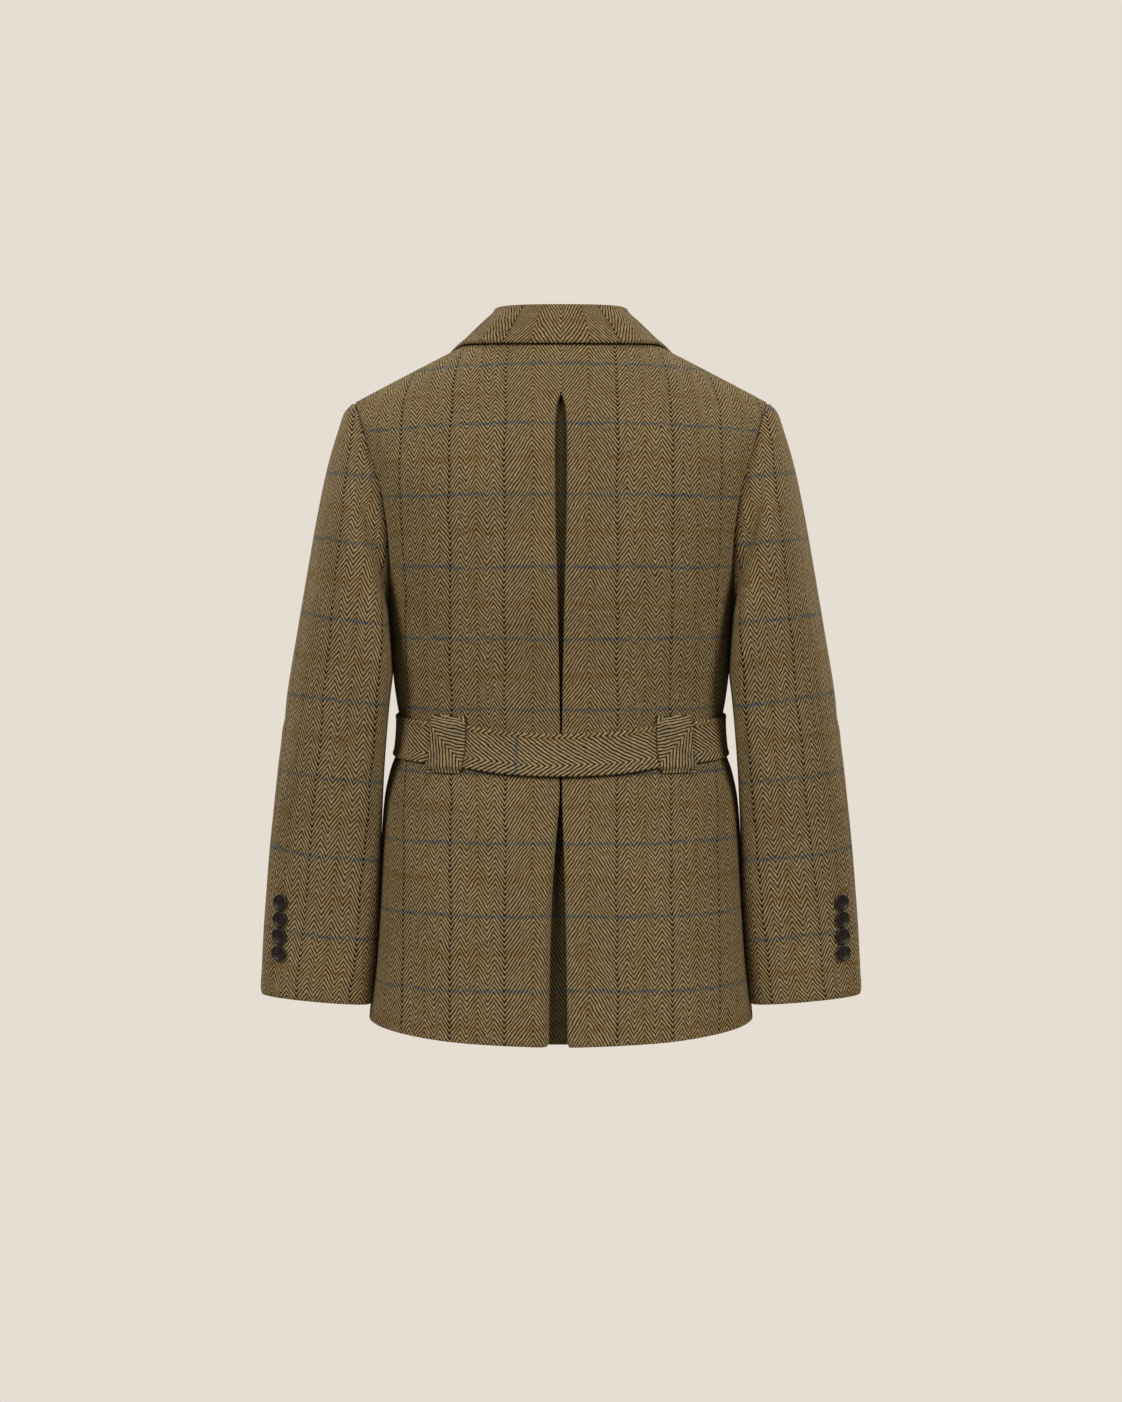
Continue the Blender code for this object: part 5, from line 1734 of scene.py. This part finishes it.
@dataclass(frozen=True)
class Stitches:
    """Rows of short stitches along the edges of the belt and its loops, and the thread in the buttons.

    The sizes of a row are its pitch, the length of a stitch and the radius of the thread.
    """

    cloth_sizes: tuple[float, float, float] = (0.0034, 0.0024, 0.00028)
    button_sizes: tuple[float, float, float] = (0.0008, 0.0016, 0.00030)
    belt_turns: tuple[float, float] = (-190.0, 196.0)
    belt_samples: int = 900
    belt_sunk: float = 0.00030
    loop_sunk: float = 0.0001
    button_rise: float = 0.0002
    seed: int = 7

    def tree(self, material: bpy.types.Material) -> bpy.types.NodeTree:
        """Node tree that lays a stitch at even steps along every line of a mesh.

        Args:
            material: Finish of the thread.

        Returns:
            The tree, with the sizes as named inputs.
        """
        tree = bpy.data.node_groups.new("stitch_row", "GeometryNodeTree")
        face = tree.interface
        face.new_socket("Geometry", in_out="INPUT", socket_type="NodeSocketGeometry")
        for name, value in zip(("Pitch", "Length", "Thread"), self.cloth_sizes):
            face.new_socket(name, in_out="INPUT", socket_type="NodeSocketFloat").default_value = value
        face.new_socket("Seed", in_out="INPUT", socket_type="NodeSocketInt").default_value = self.seed
        face.new_socket("Geometry", in_out="OUTPUT", socket_type="NodeSocketGeometry")
        put = partial(add, tree)
        given = put("NodeGroupInput", out="Geometry").node
        lines = put("GeometryNodeMeshToCurve", {"Mesh": given.outputs["Geometry"]})
        spaced = put("GeometryNodeCurveToPoints", {"Curve": lines, "Length": given.outputs["Pitch"]},
                     mode="LENGTH").node
        facing = put("GeometryNodeInputNamedAttribute", {"Name": "facing"}, "Attribute",
                     data_type="FLOAT_VECTOR")
        upright = put("FunctionNodeAlignRotationToVector", {"Vector": facing}, axis="Z")
        lying = put("FunctionNodeAlignRotationToVector", {
            "Rotation": upright, "Vector": spaced.outputs["Tangent"]}, axis="X", pivot_axis="Z")
        bead = put("GeometryNodeMeshUVSphere", {"Segments": 6, "Rings": 4, "Radius": 0.5}, "Mesh")
        uneven = put("FunctionNodeRandomValue", {2: 0.88, 3: 1.08, "Seed": given.outputs["Seed"]}, 1,
                     data_type="FLOAT")
        long = put(MATH, {0: given.outputs["Length"], 1: uneven}, operation="MULTIPLY")
        wide = put(MATH, {0: given.outputs["Thread"], 1: 2.0}, operation="MULTIPLY")
        size = put("ShaderNodeCombineXYZ", {"X": long, "Y": wide, "Z": wide})
        laid = put("GeometryNodeInstanceOnPoints", {
            "Points": spaced.outputs["Points"], "Instance": bead, "Rotation": lying, "Scale": size})
        solid = put("GeometryNodeRealizeInstances", {0: laid})
        smooth = put("GeometryNodeSetShadeSmooth", {0: solid})
        dressed = put("GeometryNodeSetMaterial", {"Geometry": smooth, "Material": material})
        put("NodeGroupOutput", {"Geometry": dressed})
        return tree

    def sew(self, name: str, lines: Sequence[tuple[np.ndarray, np.ndarray]], material: bpy.types.Material,
            sizes: tuple[float, float, float]) -> None:
        """Lay stitches along lines and keep them as one plain mesh.

        Args:
            name: Name of the piece.
            lines: Points of each line and the way out of the cloth at each.
            material: Finish of the thread.
            sizes: Pitch, length of a stitch and radius of the thread.
        """
        guide = bpy.data.meshes.new(f"{name}_guide")
        points = np.concatenate([line[0] for line in lines])
        facing = np.concatenate([line[1] for line in lines])
        edges, start = [], 0
        for line in lines:
            count = len(line[0])
            edges += [(start + i, start + i + 1) for i in range(count - 1)]
            start += count
        guide.from_pydata(points.tolist(), edges, [])
        layer = guide.attributes.new("facing", "FLOAT_VECTOR", "POINT")
        layer.data.foreach_set("vector", facing.astype(np.float32).ravel())
        holder = placed(f"{name}_guide", guide)
        modifier = holder.modifiers.new("Stitches", "NODES")
        modifier.node_group = self.tree(material)
        wanted = dict(zip(("Pitch", "Length", "Thread", "Seed"), (*sizes, self.seed)))
        for socket in modifier.node_group.interface.items_tree:
            if socket.in_out == "INPUT" and socket.name in wanted:
                modifier[socket.identifier] = wanted[socket.name]
        graph = bpy.context.evaluated_depsgraph_get()
        graph.update()
        mesh = bpy.data.meshes.new_from_object(holder.evaluated_get(graph))
        mesh.name = name
        bpy.data.objects.remove(holder, do_unlink=True)
        show(name, mesh, material)

    def belt_lines(self, belt: BeltSet) -> list[tuple[np.ndarray, np.ndarray]]:
        """Stitch lines inside both edges of the belt."""
        degrees = np.linspace(*self.belt_turns, self.belt_samples)
        share = 0.5 - belt.stitch_in / belt.width
        lines = []
        for sign in (-1.0, 1.0):
            points = belt.point(degrees, np.full_like(degrees, sign * share), -self.belt_sunk)
            height = belt.line.read("middle", degrees) + belt.width * sign * share
            lines.append((points, belt.form.normal(np.radians(degrees), height)))
        return lines

    def loop_lines(self, belt: BeltSet) -> list[tuple[np.ndarray, np.ndarray]]:
        """Stitch lines inside the sides of both loops and across their ends."""
        lines = []
        for hand in Hand:
            sheet = belt.loop_sheet(hand)
            directions = sheet.normals()
            inside = slice(6, -6)
            for where in ((inside, 6), (inside, -7), (4, inside), (-5, inside)):
                lines.append((sheet.points[where] - directions[where] * self.loop_sunk, directions[where]))
        return lines

    def button_lines(self, buttons: Buttons) -> list[tuple[np.ndarray, np.ndarray]]:
        """Crossed threads between the holes of every button."""
        lines = []
        for point, outward, scale in buttons.seats().values():
            turn = turn_to(outward)
            reach = buttons.hole_out * scale
            level = buttons.clear + buttons.thick - buttons.dish + self.button_rise
            for sign in (-1.0, 1.0):
                ends = np.array([[-reach, -reach * sign, level], [reach, reach * sign, level]])
                path = ends[0] + (ends[1] - ends[0]) * np.linspace(0.0, 1.0, 5)[:, None]
                lines.append((path @ turn.T + point, np.repeat(outward[None, :], 5, axis=0)))
        return lines

    def build(self, belt: BeltSet, buttons: Buttons, cloth_thread: bpy.types.Material,
              button_thread: bpy.types.Material) -> None:
        """Sew the belt, the loops and the buttons."""
        self.sew("belt_stitching", self.belt_lines(belt), cloth_thread, self.cloth_sizes)
        self.sew("loop_stitching", self.loop_lines(belt), cloth_thread, self.cloth_sizes)
        self.sew("button_thread", self.button_lines(buttons), button_thread, self.button_sizes)


@dataclass(frozen=True)
class Studio:
    """Pale floor, soft light and the camera behind the jacket."""

    floor_height: float = -1.45
    floor_radius: float = 1.8
    camera_place: tuple[float, float, float] = (0.0, 3.4, -0.17)
    camera_aim: tuple[float, float, float] = (0.0, 0.0, -0.3796)
    lens: float = 84.1
    surround: str = "#e6ddd3"
    ambient: float = 0.13
    ambient_colour: str = "#f3eee8"
    sensor: float = 36.0
    lamp_size: float = 1.8
    lamp_height: float = 2.2
    lamp_colour: str = "#fff8f0"
    lamp_aim: tuple[float, float, float] = (0.0, 0.0, -0.36)
    lamps: tuple[tuple[str, float, float, float], ...] = (
        ("back_light_left", 3.4, 3.2, 160.0), ("back_light_right", -3.4, 3.2, 164.0),
        ("front_light_left", 3.4, -3.2, 148.0), ("front_light_right", -3.4, -3.2, 148.0))

    def floor(self) -> None:
        """Lay a round floor."""
        turns = np.linspace(0.0, 2.0 * math.pi, 96, endpoint=False)
        radius = self.floor_radius
        rim = [(radius * math.cos(t), radius * math.sin(t), self.floor_height) for t in turns]
        mesh = bpy.data.meshes.new("floor")
        mesh.from_pydata(rim, [], [tuple(range(len(rim)))])
        mesh.materials.append(FloorPaper().material())
        floor = placed("floor", mesh)

    def aimed(self, name: str, data: bpy.types.ID, place: Sequence[float],
              aim: Sequence[float]) -> bpy.types.Object:
        """Put a light or a camera at a place and turn it to what it looks at.

        Args:
            name: Its name.
            data: Its data.
            place: Where it is.
            aim: What it looks at.

        Returns:
            The object.
        """
        made = placed(name, data)
        made.location = place
        made.rotation_euler = (Vector(aim) - Vector(place)).to_track_quat("-Z", "Y").to_euler()
        return made

    def lamp(self, name: str, across: float, depth: float, power: float) -> None:
        """Hang a square soft light that looks at the jacket.

        Args:
            name: Name of the light.
            across: Its place across.
            depth: Its place towards the back.
            power: Its power in watts.
        """
        light = bpy.data.lights.new(name, "AREA")
        light.size = self.lamp_size
        light.energy = power
        light.color = linear(self.lamp_colour)[:3]
        self.aimed(name, light, (across, depth, self.lamp_height), self.lamp_aim)

    def surroundings(self) -> None:
        """Pale surroundings that give a weak light from all round."""
        world = bpy.data.worlds.new("studio")
        world.use_nodes = True
        tree = world.node_tree
        tree.nodes.clear()
        seen = add(tree, "ShaderNodeBackground", {"Color": linear(self.surround), "Strength": 1.0})
        given = add(tree, "ShaderNodeBackground", {
            "Color": linear(self.ambient_colour), "Strength": self.ambient})
        direct = add(tree, "ShaderNodeLightPath", out="Is Camera Ray")
        light = add(tree, "ShaderNodeMixShader", {0: direct, 1: given, 2: seen})
        add(tree, "ShaderNodeOutputWorld", {"Surface": light})
        bpy.context.scene.world = world

    def camera(self) -> None:
        """Set up the camera at the angle of the photograph."""
        data = bpy.data.cameras.new("camera")
        data.lens = self.lens
        data.sensor_width = self.sensor
        bpy.context.scene.camera = self.aimed("camera", data, self.camera_place, self.camera_aim)

    def build(self) -> None:
        """Set up the whole studio."""
        self.floor()
        self.surroundings()
        for lamp in self.lamps:
            self.lamp(*lamp)
        self.camera()
        bpy.context.scene.view_settings.view_transform = "Standard"


def main() -> None:
    """Build the jacket and its studio."""
    logging.basicConfig(level=logging.INFO, format="%(name)s %(message)s")
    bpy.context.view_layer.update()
    form = BodyForm()
    tweed = Tweed().material()
    horn = Horn().material()
    Studio().build()
    # Darker copy of the tweed for the strip behind the pleat and the vent: painted shade of the deep pleat,
    # not a darker cloth
    pleat_shade_tweed = Tweed(name="pleat_painted_shade_tweed", light_yarn=("#4f4229", "#625234"),
                       dark_yarn=("#150f06", "#241b0c"), blue_yarn=("#171b1e", "#3a4246"),
                       rust_yarn=("#201405", "#4a3818")).material()
    belt_tweed = Tweed(name="belt_herringbone_tweed", pitch=0.0060, turn_back=(0.5, 0.5), check=0.34,
                       light_yarn=("#907c57", "#b09c74"), dark_yarn=("#0b0602", "#1c1307")).material()
    loop_tweed = Tweed(name="loop_herringbone_tweed", pitch=0.0058, turn_back=(0.5, 0.5),
                       light_yarn=("#8f7b57", "#b09c73"), dark_yarn=("#160f06", "#2c210f"),
                       rust_yarn=("#22272a", "#74715f")).material()
    collar_tweed = Tweed(name="collar_herringbone_tweed", half_repeat=0.0248, turn_back=(0.5, 0.5)).material()
    Back(form).build(tweed, pleat_shade_tweed)
    Fronts(form).build(tweed)
    CollarBand(form).build(collar_tweed)
    sleeves = Sleeves(form)
    sleeves.build(tweed)
    belt = BeltSet(form)
    belt.build(belt_tweed, loop_tweed)
    buttons = Buttons(form, sleeves, belt)
    buttons.build(horn)
    cloth_thread = SewingThread("tan_sewing_thread", "#85724e", "#5b4a30").material()
    button_thread = SewingThread("dark_button_thread", "#2a2118", "#15100b").material()
    Stitches().build(belt, buttons, cloth_thread, button_thread)


if __name__ == "__main__":
    main()
